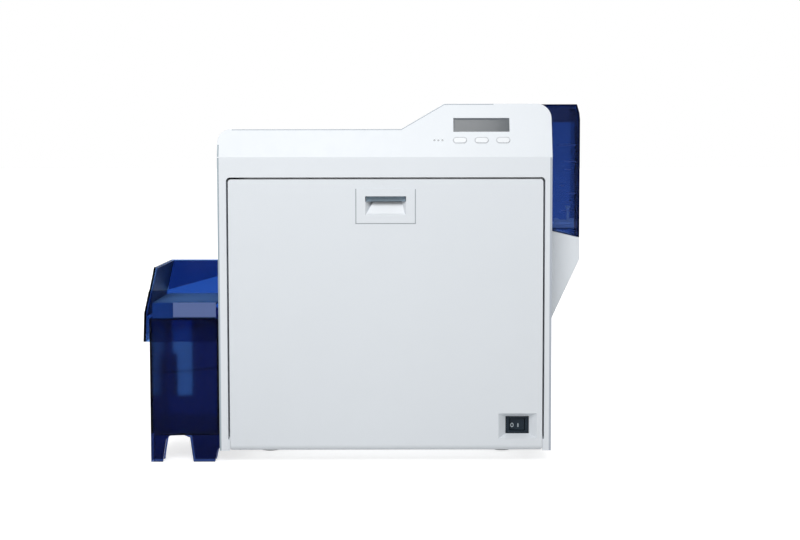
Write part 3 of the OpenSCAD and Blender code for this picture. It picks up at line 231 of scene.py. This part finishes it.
# Painted shadow: the grey of the gaps round the door handle's plate.
plain("gap_shadow_grey", (0.36, 0.39, 0.42), rough=0.6)
# Painted shade: the grey of the rings round the buttons.
plain("ring_shade_grey", (0.66, 0.69, 0.71), rough=0.6)
# Painted shade: the darker look of rounded and bevelled edges; the pale one is for the front's
# right side.
plain("edge_shade_grey", (0.36, 0.43, 0.48))
plain("edge_shade_pale", (0.46, 0.50, 0.56))
plain("bead_grey", (0.42, 0.47, 0.52))
# Painted shade: the bluish shade at the back of the door handle's pocket.
plain("pocket_shade_blue", (0.40, 0.52, 0.62))
plain("shade_grey", (0.085, 0.10, 0.12))
see_through("clear_blue", (0.12, 0.265, 0.585), density=80)
see_through("hopper_blue", (0.124, 0.215, 0.46), rough=0.1, density=80)
see_through("clear_navy", (0.04, 0.075, 0.24), rough=0.13, density=80)
see_through("pane_blue", (0.36, 0.66, 0.74), rough=0.1)
# A painted highlight: a pale half-clear strip for a light line inside the stacker.
see_through("highlight_pale", (0.62, 0.72, 0.90), rough=0.4, clear=0.3)
# Painted shade: a smoked see-through tint for the darker top and upright edges of the hopper
# cover.
see_through("shade_smoke", (0.72, 0.42, 0.36))
# A painted reflection: a pale, half-clear band that paints the soft reflection lying across the
# stacker's front.
see_through("painted_reflection_band", (0.285, 0.40, 0.87), rough=0.45, clear=0.6)
steel("steel_sheet", (0.60, 0.62, 0.64), 0.36)
steel("metal_case", (0.50, 0.51, 0.53), 0.45)
rubber("rubber_black", (0.025, 0.025, 0.027), 0.75)
rubber("heat_rubber", (0.22, 0.06, 0.03), 0.55)
film("film_pale", (0.55, 0.57, 0.45))
film("ribbon_red", (0.20, 0.012, 0.06))
board("circuit_board")

SLOT_OF = {part["node"]: part["material_slot"] for part in frame["record"]["subparts"]}
FINISH_OF = {"hopper_cover": "hopper_blue"}  # shown a little darker than its slot's finish


def finish_node(node, slot):
    """Puts a finish on every material slot of a CAD node's own object."""
    data = frame["nodes"][node].data
    if not data.materials:
        data.materials.append(FINISHES[slot])
    for index in range(len(data.materials)):
        data.materials[index] = FINISHES[slot]


for node_name, slot_name in SLOT_OF.items():
    finish_node(node_name, slot_name)

# ---- pieces ------------------------------------------------------------------

BODY_OF = {
    node: body for body, nodes in frame["record"]["behaviour"]["bodies"].items() for node in nodes
}
ROUNDED_FROM = 30  # edges that bend by more than this many degrees are rounded
CREASE_FROM = 12  # those that bend by less than that but more than this stay sharp


def show(name, mesh, material, body):
    """Links a mesh as a piece that rides on a body."""
    piece = linked(name, mesh)
    mesh.materials.clear()
    mesh.materials.append(material)
    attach(piece, body)
    return piece


def keep_creases(mesh):
    """Marks the edges that bend by more than a facet of a curve but aren't rounded."""
    shape = bmesh.new()
    shape.from_mesh(mesh)
    for edge in shape.edges:
        bend = math.degrees(edge.calc_face_angle(0))
        edge.smooth = not CREASE_FROM < bend < ROUNDED_FROM
    shape.to_mesh(mesh)
    shape.free()


def round_edges(piece, width, segments=2):
    """Rounds a piece's edges by width metres and keeps its flat faces flat."""
    bevel = piece.modifiers.new("edges", "BEVEL")
    bevel.width = width
    bevel.segments = segments
    bevel.limit_method = "ANGLE"
    bevel.angle_limit = math.radians(ROUNDED_FROM)
    bevel.use_clamp_overlap = True
    piece.data.shade_smooth()
    keep_creases(piece.data)
    normals = piece.modifiers.new("normals", "WEIGHTED_NORMAL")
    normals.keep_sharp = True


def round_corners(piece, width, share, segments=5):
    """Rounds edges by a share of width metres, before the other edges are rounded."""
    mesh = piece.data
    weights = mesh.attributes.new("bevel_weight_edge", "FLOAT", "EDGE")
    for edge in mesh.edges:
        ends = [mesh.vertices[index].co for index in edge.vertices]
        weights.data[edge.index].value = share(*ends)
    bevel = piece.modifiers.new("corners", "BEVEL")
    bevel.width = width
    bevel.segments = segments
    bevel.limit_method = "WEIGHT"
    piece.modifiers.move(len(piece.modifiers) - 1, 0)


def dressed(node, width_mm):
    """Shows a CAD node by a copy of its mesh with rounded edges."""
    shape = bmesh.new()
    source = frame["nodes"][node].data.copy()
    if "custom_normal" in source.attributes:
        source.attributes.remove(source.attributes["custom_normal"])
    shape.from_mesh(source)
    bmesh.ops.remove_doubles(shape, verts=shape.verts, dist=MERGE)
    bmesh.ops.dissolve_limit(
        shape, angle_limit=math.radians(0.5), verts=shape.verts, edges=shape.edges)
    mesh = bpy.data.meshes.new(node + "_dressed")
    shape.to_mesh(mesh)
    shape.free()
    material = FINISHES[FINISH_OF.get(node, SLOT_OF[node])]
    piece = show(node + "_dressed", mesh, material, BODY_OF[node])
    round_edges(piece, width_mm * MM)
    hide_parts(node)
    return piece


# Edge radius of each visible moulding, in millimetres.
EDGE_RADIUS = {
    "front_fascia": 0.7,
    "door_panel": 0.6,
    "door_handle": 0.35,
    "left_side_cover": 0.5,
    "right_side_cover": 0.5,
    "top_cover": 0.5,
    "rear_cover": 0.4,
    "hopper_bracket": 0.6,
    "hopper_cover": 0.6,
    "stacker_tray": 0.6,
    "stacker_hood": 0.6,
    "card_rest": 0.4,
    "card_weight": 0.4,
    "button_left": 0.3,
    "button_middle": 0.3,
    "button_right": 0.3,
    "switch_rocker": 0.3,
    "switch_housing": 0.3,
}
DRESSED = {node_name: dressed(node_name, radius) for node_name, radius in EDGE_RADIUS.items()}

# The casing's outline from the front, in the machine's millimetres.
HALF_WIDTH = 171.5
CREASE_Z = 316  # the control panel leans back above this height
LEAN = math.radians(19)
LOW_TOP_Z, HIGH_TOP_Z = 344.6, 370.6
STEP_X, STEP_WIDTH, STEP_RISE = 17, 44, 26  # the slanting step between the two tops
STEP_END_X = 61.5  # just beyond the step's right end
TOP_CORNER_X = 155  # the rounded top corners start outside this

CORNER_ROUNDING = 3.6  # asked for in millimetres; the bevel's overlap limit leaves about 0.2
SMALL_SHARE = 0.4
SAME = 0.01  # millimetres within which an edge's end lies on a face
CLOSE = 0.1  # millimetres within which its middle lies on the outline


def fascia_rounding(a, b):
    """The share of the corner rounding for an edge of the front fascia from a to b.

    The upright corners and the panel's left side get all of it. The panel's right side
    and its top get a small share, and all other edges none.
    """
    ends = [end / MM - Vector((*MACHINE_ZERO, 0)) for end in (a, b)]
    middle = (ends[0] + ends[1]) / 2
    outermost = all(abs(abs(end.x) - HALF_WIDTH) < SAME for end in ends)
    if outermost and all(abs(end.y) < SAME and end.z < CREASE_Z + SAME for end in ends):
        return 1.0
    for end in ends:
        panel_y = (end.z - CREASE_Z) * math.tan(LEAN)
        if abs(end.y - panel_y) > SAME or end.z < CREASE_Z - SAME:
            return 0.0
    if abs(middle.x) > HALF_WIDTH - CLOSE:
        return 1.0 if middle.x < 0 else SMALL_SHARE
    step_x = STEP_X + (middle.z - LOW_TOP_Z) / STEP_RISE * STEP_WIDTH + CLOSE
    on_low_top = middle.z > LOW_TOP_Z - CLOSE and middle.x < min(step_x, STEP_END_X)
    on_high_top = middle.z > HIGH_TOP_Z - CLOSE
    return SMALL_SHARE if on_low_top or on_high_top or abs(middle.x) > TOP_CORNER_X else 0.0


round_corners(DRESSED["front_fascia"], CORNER_ROUNDING * MM, fascia_rounding)

# ---- how small details are built -----------------------------------------------

FORWARD = ((1, 0, 0), (0, 0, 1))  # right and up, on a face that looks forward
BACKWARD = ((-1, 0, 0), (0, 0, 1))
SHARP = 0.01  # the edge radius, in millimetres, of details too small for a rounding


def face_frame(origin, right, up):
    """Local axes on a surface: to the right, upwards, and out of it."""
    right, up = Vector(right), Vector(up)
    frame_matrix = Matrix((right, up, right.cross(up))).transposed().to_4x4()
    frame_matrix.translation = origin
    return frame_matrix


def front_face(x=0, y=0):
    return face_frame(at(x, y, 0), *FORWARD)


REAR = face_frame(at(0, 0, 0), *BACKWARD)  # heights on it are y in the machine
PANEL = face_frame(at(0, 0, CREASE_Z), (1, 0, 0), (0, math.sin(LEAN), math.cos(LEAN)))


def panel_up(z):
    """How far up the leaning panel a height above the table lies."""
    return (z - CREASE_Z) / math.cos(LEAN)


def detail(name, solid, place, finish, body, edge=0.0, slot=None):
    """A small piece from a solid's points, in millimetres on a face frame, and faces."""
    points, faces = solid
    mesh = bpy.data.meshes.new(name)
    mesh.from_pydata([place @ (Vector(point) * MM) for point in points], [], faces)
    shape = bmesh.new()
    shape.from_mesh(mesh)
    bmesh.ops.remove_doubles(shape, verts=shape.verts, dist=MERGE)
    bmesh.ops.recalc_face_normals(shape, faces=shape.faces)
    shape.to_mesh(mesh)
    shape.free()
    piece = show(name, mesh, FINISHES[finish], body)
    round_edges(piece, max(edge, SHARP) * MM, 2 if edge else 1)


def box_loop(x0, x1, y0, y1):
    return [(x0, y0), (x1, y0), (x1, y1), (x0, y1)]


def pill_loop(x, y, width, height, grow, steps=10):
    """The outline of a pill, grown outwards by grow."""
    radius = height / 2 + grow
    reach = (width - height) / 2
    loop = []
    for side in (1, -1):
        for i in range(steps + 1):
            turn = math.pi * (i / steps - 0.5) + (0 if side > 0 else math.pi)
            loop.append((x + side * reach + radius * math.cos(turn), y + radius * math.sin(turn)))
    return loop


def prism(loop, low, high):
    """A flat outline made solid between two heights: its points and faces."""
    count = len(loop)
    points = [(x, y, low) for x, y in loop] + [(x, y, high) for x, y in loop]
    faces = [tuple(reversed(range(count))), tuple(range(count, 2 * count))]
    for i in range(count):
        j = (i + 1) % count
        faces.append((i, j, count + j, count + i))
    return points, faces


def block(x0, x1, y0, y1, low, high):
    return prism(box_loop(x0, x1, y0, y1), low, high)


def ring(outer, inner, low, high):
    """A frame between two outlines with as many points each."""
    count = len(outer)
    points = [(x, y, h) for h in (low, high) for loop in (outer, inner) for x, y in loop]
    faces = []
    for i in range(count):
        j = (i + 1) % count
        faces += [
            (i, j, 2 * count + j, 2 * count + i),
            (count + j, count + i, 3 * count + i, 3 * count + j),
            (j, i, count + i, count + j),
            (2 * count + i, 2 * count + j, 3 * count + j, 3 * count + i),
        ]
    return points, faces


def turned(profile, centre=(0, 0), steps=32):
    """A profile of (radius, height) turned round the outward axis."""
    turns = [2 * math.pi * i / steps for i in range(steps)]
    points = [(centre[0] + radius * math.cos(turn), centre[1] + radius * math.sin(turn), height)
              for radius, height in profile for turn in turns]
    faces = []
    last = (len(profile) - 1) * steps
    for low in range(0, last, steps):
        for i in range(steps):
            j = (i + 1) % steps
            faces.append((low + i, low + j, low + steps + j, low + steps + i))
    faces += [tuple(reversed(range(steps))), tuple(range(last, last + steps))]
    return points, faces


def together(*solids):
    """Several solids as one: their points and faces joined."""
    points, faces = [], []
    for more_points, more_faces in solids:
        start = len(points)
        points += more_points
        faces += [tuple(index + start for index in face) for face in more_faces]
    return points, faces


def scalloped(radius, depth, count, steps=8):
    """A wheel's outline with finger scallops."""
    loop = []
    for k in range(count * steps):
        turn = 2 * math.pi * k / (count * steps)
        reach = radius - depth * (0.5 + 0.5 * math.cos(count * turn))
        loop.append((reach * math.cos(turn), reach * math.sin(turn)))
    return loop


def solid_boxes(node):
    """The lowest and highest corners of each separate solid of a CAD node, in metres."""
    shape = bmesh.new()
    shape.from_mesh(frame["nodes"][node].data)
    bmesh.ops.remove_doubles(shape, verts=shape.verts, dist=MERGE)
    waiting, boxes = set(shape.verts), []
    while waiting:
        group, found = [waiting.pop()], []
        while group:
            vert = group.pop()
            found.append(vert.co.copy())
            for edge in vert.link_edges:
                other = edge.other_vert(vert)
                if other in waiting:
                    waiting.remove(other)
                    group.append(other)
        boxes.append([
            Vector([pick(point[axis] for point in found) for axis in range(3)])
            for pick in (min, max)
        ])
    shape.free()
    return sorted(boxes, key=lambda box: tuple(box[0]))


# ---- the front -----------------------------------------------------------------

FASCIA = BODY_OF["front_fascia"]
DOOR = BODY_OF["door_handle"]
ROCKER = BODY_OF["switch_rocker"]

# The handle: its floor, painted shadow in the gaps round its plate, a line of painted shade
# at its right edge and a bluish plate of painted shade at the back of its pocket.
HANDLE = front_face(0.85)
FLOOR_POINTS = [
    (-20.5, 256.15, -0.1), (20.5, 256.15, -0.1), (16.6, 270.2, -5.2),
    (-13.2, 270.2, -5.2), (-13.2, 269.6, -9.6), (16.6, 269.6, -9.6),
]
FLOOR_FACES = [(0, 1, 2, 3), (3, 2, 5, 4), (0, 4, 5, 1), (0, 3, 4), (1, 5, 2)]
detail("handle_floor", (FLOOR_POINTS, FLOOR_FACES), HANDLE, "door_white", DOOR, slot="door_white")
# Painted shadow: grey strips in the gaps at the left, foot and right of the plate.
PLATE_GAP_SHADOWS = [
    (-31.0, -30.0, 247.7, 283.6),
    (-31.0, 31.0, 247.6, 248.4),
    (30.0, 30.9, 248.4, 283.2),
]
for index, gap in enumerate(PLATE_GAP_SHADOWS):
    detail(f"handle_gap_shadow_{index}", block(*gap, -0.3, 0.06), HANDLE, "gap_shadow_grey", DOOR)
# Painted shade: a grey line on the plate that paints the shade of its bevelled right edge.
detail("handle_edge_shade", block(27.3, 27.9, 249.2, 283.2, -0.3, 0.1), HANDLE, "edge_shade_grey", DOOR,
       edge=0.06)
# Painted shade: a bluish plate, set shallow, that paints the shade at the back of the pocket.
detail("handle_back_shade", block(-20.3, 20.3, 269.9, 275.6, -7.2, -6.4), HANDLE, "pocket_shade_blue", DOOR,
       edge=0.1)

# The control panel: painted shade on the display's rim, above and at its left, and grey
# rings of painted shade round the buttons. Places on the panel are x and the distance up
# from the crease.
LCD_X, LCD_UP = 99.3, 34.7
BUTTON_ROW_UP, BUTTON_PITCH, BUTTON_WIDTH, BUTTON_HEIGHT = 18, 22.2, 13.2, 5.6
SHADE_OUTSIDE, SHADE_INSIDE = 0.75, 0.27  # how far the painted shade reaches beyond the button
LCD_RIM_SHADE = [(-28.6, 28.6, 5.7, 7.35), (-28.6, -27.8, -7.35, 5.7)]
for index, (x0, x1, up0, up1) in enumerate(LCD_RIM_SHADE):
    solid = block(LCD_X + x0, LCD_X + x1, LCD_UP + up0, LCD_UP + up1, -0.72, -0.5)
    detail(f"display_rim_shade_{index}", solid, PANEL, "shade_grey", BODY_OF["lcd_window"])
for index in range(3):
    x = LCD_X + (index - 1) * BUTTON_PITCH
    loops = [pill_loop(x, BUTTON_ROW_UP, BUTTON_WIDTH, BUTTON_HEIGHT, grow)
             for grow in (SHADE_OUTSIDE, SHADE_INSIDE)]
    detail(f"button_shade_ring_{index}", ring(*loops, -0.4, 0.08), PANEL, "ring_shade_grey", FASCIA)

# The 0 and I on the two slopes of the rocker.
MARK_Z = 37.2


def rocker_face(x, y, fall):
    """A face of the rocker that falls away by this many millimetres in 7.5."""
    slope = math.atan(fall / 7.5)
    return face_frame(at(x, y, MARK_Z), (math.cos(slope), -math.sin(slope), 0), (0, 0, 1))


zero = [
    [(r * 0.85 * math.cos(math.pi * k / 12), r * 1.1 * math.sin(math.pi * k / 12))
     for k in range(24)]
    for r in (2.1, 1.15)
]
detail("switch_mark_0", ring(*zero, -0.1, 0.06), rocker_face(131.9, 12.08, 1), "switch_mark",
       ROCKER)
detail("switch_mark_I", block(-0.5, 0.5, -1.9, 1.9, -0.1, 0.06), rocker_face(138.1, 11.3, 0.7),
       "switch_mark", ROCKER)

# ---- the hopper and the stacker ------------------------------------------------

# The hopper cover: smoked sheets of painted shade inside its top and along its upright
# edges, and the scale.
LID = BODY_OF["hopper_cover"]
LID_WALL_Y, HOPPER_SHADE_Y = 42.4, 42.6  # the front wall's inner face, and just behind it
HOPPER_TOP_SHADE = [(131, 351.9), (201.1, 351.9), (201.1, 354.3), (200.4, 361.2), (197.6, 367.8), (131, 367.8)]
HOPPER_SHADES = [
    ("hopper_top_shade", HOPPER_TOP_SHADE, 0.9),
    ("hopper_edge_shade_outer", box_loop(198.6, 201.2, 234.5, 351.4), 0.8),
    ("hopper_edge_shade_inner", box_loop(172.3, 175.2, 241.5, 351.4), 0.8),
]
for name, loop, thickness in HOPPER_SHADES:
    detail(name, prism(loop, -thickness, 0), front_face(0, HOPPER_SHADE_Y), "shade_smoke", LID,
           slot="clear_navy")
SCALE = [  # each line's height and the x of its ends
    (328.2, 181.6, 199.6), (311.0, 187.3, 199.9), (302.8, 187.9, 195.6), (286.1, 182.8, 188.0),
    (277.6, 192.0, 199.9), (268.4, 187.9, 196.6), (259.2, 184.7, 196.6),
]
for index, (z, x0, x1) in enumerate(SCALE):
    detail(f"hopper_scale_{index}", block(x0, x1, z - 0.4, z + 0.4, -0.5, 0.1),
           front_face(0, LID_WALL_Y), "scale_mark", LID, edge=0.12)

# The stacker: a dark plate of painted shade inside its top at the rear, a pale band of
# painted reflection across its front, a dark sheet of painted shade on the hood's left
# wall and a pane over the viewing slot.
STACKER = BODY_OF["stacker_hood"]
# Painted shade: a dark plate on the rear wall that paints the shade inside the hood's top.
HOOD_REAR_SHADE = [(-241.2, 169.8), (-172.6, 188.4), (-172.6, 202.2), (-236.2, 202.2)]
detail("hood_rear_shade", prism(HOOD_REAR_SHADE, -1.2, 0), front_face(0, 122.9), "clear_navy", STACKER,
       slot="clear_navy")
# Painted reflection: a pale band on the hood's front wall that paints the soft reflection across
# it.
detail("hood_reflection", block(-218.6, -174.4, 151.5, 166.6, 0, 0.35), front_face(0, 3.3),
       "painted_reflection_band", STACKER, edge=0.3, slot="clear_blue")
# Painted shade: a dark sheet inside the hood's left wall that keeps it dark where grazing
# reflections would show bright.
SIDE = [(-246.0, 153.0), (-245.3, 157.0), (-237.3, 193.0), (-235.2, 202.2)]
left_wall_shade = SIDE + [(x + 1, z) for x, z in reversed(SIDE)]
detail("hood_wall_shade", prism(left_wall_shade, -122.4, -6.3), front_face(), "wall_shade_blue", STACKER,
       slot="clear_blue")
detail("slot_pane", block(-238.2, -213.6, 50.0, 126.5, -0.8, 0), front_face(0, 124.05),
       "pane_blue", STACKER, slot="clear_navy")

# Ribs inside the tray, on its rear wall; the pale one paints a highlight line.
TRAY_WALL_Y = 121.6
RIBS = [
    ("highlight_pale", [(-215.7, 121.6), (-188.7, 127.6), (-188.7, 128.3), (-215.7, 122.4)]),
    ("black_plastic", [(-243.0, 77.0), (-188.7, 81.8), (-188.7, 82.8), (-243.0, 78.2)]),
]
for index, (finish, loop) in enumerate(RIBS):
    detail(f"tray_rib_{index}", prism(loop, 0, 0.8), front_face(0, TRAY_WALL_Y), finish, STACKER,
           edge=0.1)

# ---- the top seam and the painted edge shade of the front ----------------------

# Grey lines along the front's top and sides, laid 0.08 mm proud of its face. The top one
# is a seam; the side ones are painted shade on the rounded upright corners.
STRIP = (-0.2, 0.08)
LOW_UP, HIGH_UP = panel_up(344.5), panel_up(370.4)
TOP_SEAM = [(-157, LOW_UP), (STEP_X, LOW_UP), (STEP_END_X, HIGH_UP), (112, HIGH_UP)]
line = [(x, up - 0.95) for x, up in TOP_SEAM] + [(x, up - 0.05) for x, up in reversed(TOP_SEAM)]
detail("seam_top", prism(line, *STRIP), PANEL, "bead_grey", FASCIA)
# Painted shade: grey lines on the front's rounded upright corners and on the panel's left side.
SIDE_SHADES = [
    ("edge_shade_left", (-171.4, -169.8, 13, 315.4), front_face(), "edge_shade_grey"),
    ("edge_shade_right", (169.2, 171.4, 13, 315.4), front_face(), "edge_shade_pale"),
    ("edge_shade_left_panel", (-171.4, -169.8, 0.5, 13.5), PANEL, "edge_shade_grey"),
]
for name, sides, place, finish in SIDE_SHADES:
    detail(name, block(*sides, *STRIP), place, finish, FASCIA)

# ---- screws --------------------------------------------------------------------

CROSS = [(-1.5, -0.3), (-0.3, -0.3), (-0.3, -1.5), (0.3, -1.5), (0.3, -0.3), (1.5, -0.3),
         (1.5, 0.3), (0.3, 0.3), (0.3, 1.5), (-0.3, 1.5), (-0.3, 0.3), (-1.5, 0.3)]
PAN_HEAD = [(3.1, 0), (3.1, 0.5), (2.5, 1.2), (1.2, 1.4)]

# A dark cross of painted shade for the recess, on every solid of the nodes of screws, which look
# backwards.
for node in ("rear_screws", "door_screws"):
    for index, (low, high) in enumerate(solid_boxes(node)):
        head = Vector(((low.x + high.x) / 2, high.y, (low.z + high.z) / 2))
        detail(f"{node}_cross_{index}", prism(CROSS, -0.4, 0.03), face_frame(head, *BACKWARD),
               "shade_grey", BODY_OF[node])

# Screws on the front of the front frame, each with a dark cross of painted shade for its recess.
FRAME = BODY_OF["front_frame"]
FRAME_Y = 16.8
FRAME_SCREWS = [
    (-96, 301), (4, 301), (92, 301), (-120, 36), (-20, 36), (84, 36), (156, 100), (156, 220),
]
for index, (x, z) in enumerate(FRAME_SCREWS):
    name = f"frame_screw_{index}"
    detail(name, turned(PAN_HEAD, (x, z)), front_face(0, FRAME_Y), "steel_sheet", FRAME)
    cross = [(x + dx, z + dz) for dx, dz in CROSS]
    detail(name + "_cross", prism(cross, 0.9, 1.43), front_face(0, FRAME_Y), "shade_grey", FRAME)

# ---- inside --------------------------------------------------------------------

# The cassettes: a wheel on the end of each spool, and a grip between two ribs on each
# front plate.
CASSETTE_Y = 36
HUB = [(5.2, 3), (5.2, 4.6), (4.4, 5.2), (2.4, 5.2), (2.2, 4.0)]
WHEELS = [
    ("film_supply_spool", "film_pale", 13),
    ("film_takeup_spool", "film_pale", 13),
    ("ribbon_supply_spool", "ribbon_red", 11),
    ("ribbon_takeup_spool", "ribbon_red", 11),
]
for node, finish, radius in WHEELS:
    low, high = solid_boxes(node)[0]
    end = at(0, CASSETTE_Y - 0.6, 0).y
    place = face_frame(((low.x + high.x) / 2, end, (low.z + high.z) / 2), *FORWARD)
    detail(node + "_wheel", prism(scalloped(radius, 1.6, 10), 0, 3.2), place, finish,
           BODY_OF[node], edge=0.4, slot=SLOT_OF[node])
    detail(node + "_hub", turned(HUB), place, "cassette_grey", BODY_OF[node], edge=0.2,
           slot="cassette_grey")

plate = front_face(0, CASSETTE_Y)
GRIPS = [("film_cassette_frame", -62, 178, 24), ("ribbon_cassette_frame", 70, 143, 18)]
for node, x, z, half in GRIPS:
    grip = together(block(x - half, x - half + 5, z - 4, z + 4, 0, 5),
                    block(x + half - 5, x + half, z - 4, z + 4, 0, 5),
                    block(x - half, x + half, z - 4, z + 4, 5, 7))
    detail(node + "_grip", grip, plate, "cassette_grey", BODY_OF[node], edge=0.5,
           slot="cassette_grey")
    for side in (-1, 1):
        middle = x + side * (half + 6)
        detail(f"{node}_rib_{side + 1}", block(middle - 1, middle + 1, z - 16, z + 16, 0, 1.2),
               plate, "cassette_grey", BODY_OF[node], edge=0.4, slot="cassette_grey")

# Stiffening ribs on the door's inner face: upright ones, and bars across them.
LINER_FACE_Y = 14.3
RIB_HALF = 1.2
RIBS_X, BARS_Z = (-104, -52, 52, 104), (84, 160, 236)
door_ribs = [
    (f"liner_rib_{index}", block(-x - RIB_HALF, -x + RIB_HALF, 84, 236, LINER_FACE_Y, 15.5))
    for index, x in enumerate(RIBS_X)
] + [
    (f"liner_bar_{index}", block(-104, 104, z - RIB_HALF, z + RIB_HALF, LINER_FACE_Y, 15.4))
    for index, z in enumerate(BARS_Z)
]
for name, solid in door_ribs:
    detail(name, solid, REAR, "inner_grey", BODY_OF["door_liner"], edge=0.4, slot="inner_grey")

# ---- the back ------------------------------------------------------------------

# Plated shells round the board's sockets, with a tongue in each. A shell stands 0.1 mm
# outside its socket, and the sockets stand 25.2 mm above the table.
BOARD = BODY_OF["main_board"]
SHELL_FOOT_Z, SHELL_HEAD_Z = 25.1, 25.3
PROUD = 0.1
PORTS = [(46, 71, 14, 3, 2.5, 2.5), (81, 102, 12, 2.5, 2.5, 2)]
for index, (x0, x1, height, rim, floor, roof) in enumerate(PORTS):
    outer = box_loop(-x1 - PROUD, -x0 + PROUD, SHELL_FOOT_Z, SHELL_HEAD_Z + height)
    inner = box_loop(-x1 + rim - PROUD, -x0 - rim + PROUD, SHELL_FOOT_Z + floor,
                     SHELL_HEAD_Z + height - roof)
    detail(f"port_shell_{index}", ring(outer, inner, 366, 382.8), REAR, "steel_sheet", BOARD,
           edge=0.15, slot="steel_sheet")
    middle = 25.2 + (height + floor - roof) / 2
    tongue = block(-x1 + rim + 2.5, -x0 - rim - 2.5, middle - 0.9, middle + 0.9, 367.5, 380)
    detail(f"port_tongue_{index}", tongue, REAR, "key_white", BOARD, edge=0.2)

# A thin collar round the mains inlet.
collar = ring(box_loop(101, 129, 45, 65), box_loop(103, 127, 47, 63), 382.5, 383.5)
detail("inlet_collar", collar, REAR, "black_plastic", BODY_OF["power_inlet"], edge=0.3,
       slot="black_plastic")

# ---- stage, light and camera ---------------------------------------------------

FLOOR_REACH = 30
FLOOR_NEAR, FLOOR_FAR = 0.45, 2.5  # metres from the middle between which the floor brightens
PHOTO_WIDTH, PHOTO_LENS = 800, 1562.3  # in the photograph's pixels
SENSOR = 36


def camera_rays(tree):
    """1 for rays that the camera sees straight, by reflection or through glass."""
    path = tree.nodes.new("ShaderNodeLightPath")
    total = path.outputs["Is Camera Ray"]
    for name in ("Is Glossy Ray", "Is Transmission Ray"):
        largest = tree.nodes.new("ShaderNodeMath")
        largest.operation = "MAXIMUM"
        tree.links.new(total, largest.inputs[0])
        tree.links.new(path.outputs[name], largest.inputs[1])
        total = largest.outputs[0]
    return total


def make_floor():
    """A plain pale floor that keeps the object's shadow and brightens away from it."""
    mesh = bpy.data.meshes.new("floor")
    corners = box_loop(-FLOOR_REACH, FLOOR_REACH, -FLOOR_REACH, FLOOR_REACH)
    mesh.from_pydata([(x, y, 0) for x, y in corners], [], [(0, 1, 2, 3)])
    floor = linked("floor", mesh)
    paint = bpy.data.materials.new("floor_white")
    paint.use_nodes = True
    tree = paint.node_tree
    shader = tree.nodes["Principled BSDF"]
    set_inputs(shader, {
        "Base Color": (0.7, 0.7, 0.7, 1),
        "Roughness": 0.9,
        "Specular IOR Level": 0.1,
        "Emission Color": (1, 1, 1, 1),
    })
    place = tree.nodes.new("ShaderNodeTexCoord")
    from_middle = tree.nodes.new("ShaderNodeVectorMath")
    from_middle.operation = "LENGTH"
    far = tree.nodes.new("ShaderNodeMapRange")
    set_inputs(far, {
        "From Min": FLOOR_NEAR, "From Max": FLOOR_FAR, "To Min": 0.72, "To Max": 0.95,
    })
    lift = tree.nodes.new("ShaderNodeMath")
    lift.operation = "MULTIPLY"
    tree.links.new(place.outputs["Object"], from_middle.inputs[0])
    tree.links.new(from_middle.outputs["Value"], far.inputs["Value"])
    tree.links.new(camera_rays(tree), lift.inputs[0])
    tree.links.new(far.outputs["Result"], lift.inputs[1])
    tree.links.new(lift.outputs[0], shader.inputs["Emission Strength"])
    mesh.materials.append(paint)


def make_world():
    """Even light from all round, and plain white wherever the camera sees past the floor."""
    world = bpy.data.worlds.new("studio")
    bpy.context.scene.world = world
    world.use_nodes = True
    tree = world.node_tree
    background = tree.nodes["Background"]
    set_inputs(background, {"Color": (1, 1, 1, 1)})
    strength = tree.nodes.new("ShaderNodeMapRange")
    set_inputs(strength, {"To Min": 0.36, "To Max": 1.0})
    tree.links.new(camera_rays(tree), strength.inputs["Value"])
    tree.links.new(strength.outputs["Result"], background.inputs["Strength"])


def make_lamp(name, place, target, size, watts):
    """A soft square lamp at place that looks at target, both in metres."""
    light = bpy.data.lights.new(name, "AREA")
    light.shape = "SQUARE"
    light.size = size
    light.energy = watts
    lamp = linked(name, light)
    lamp.location = place
    aim = Vector(target) - Vector(place)
    lamp.rotation_euler = aim.to_track_quat("-Z", "Y").to_euler()


def make_camera():
    """The photograph's view: about level with the panel's crease, looking slightly down."""
    data = bpy.data.cameras.new("camera")
    data.sensor_width = SENSOR
    data.lens = SENSOR * PHOTO_LENS / PHOTO_WIDTH
    data.clip_start = 0.1
    data.clip_end = 100
    camera = linked("camera", data)
    camera.location = at(15.46, -1600, 320)
    pitch_down, roll = math.radians(4.28), math.radians(0.085)
    tilt = Euler((math.pi / 2 - pitch_down, 0, 0)).to_matrix()
    camera.rotation_euler = (tilt @ Euler((0, 0, -roll)).to_matrix()).to_euler()
    bpy.context.scene.camera = camera


make_floor()
make_world()
make_lamp("key_lamp", (-0.14, -1.25, 0.98), (0, -0.1, 0.15), 0.7, 10.3)
make_lamp("top_lamp", (0.1, 0.1, 2.0), (0, 0, 0.1), 1.6, 5)
make_lamp("back_lamp", (0.3, 1.6, 1.2), (0, 0.1, 0.15), 1.2, 9)
make_camera()

bpy.context.scene.view_settings.view_transform = "Standard"
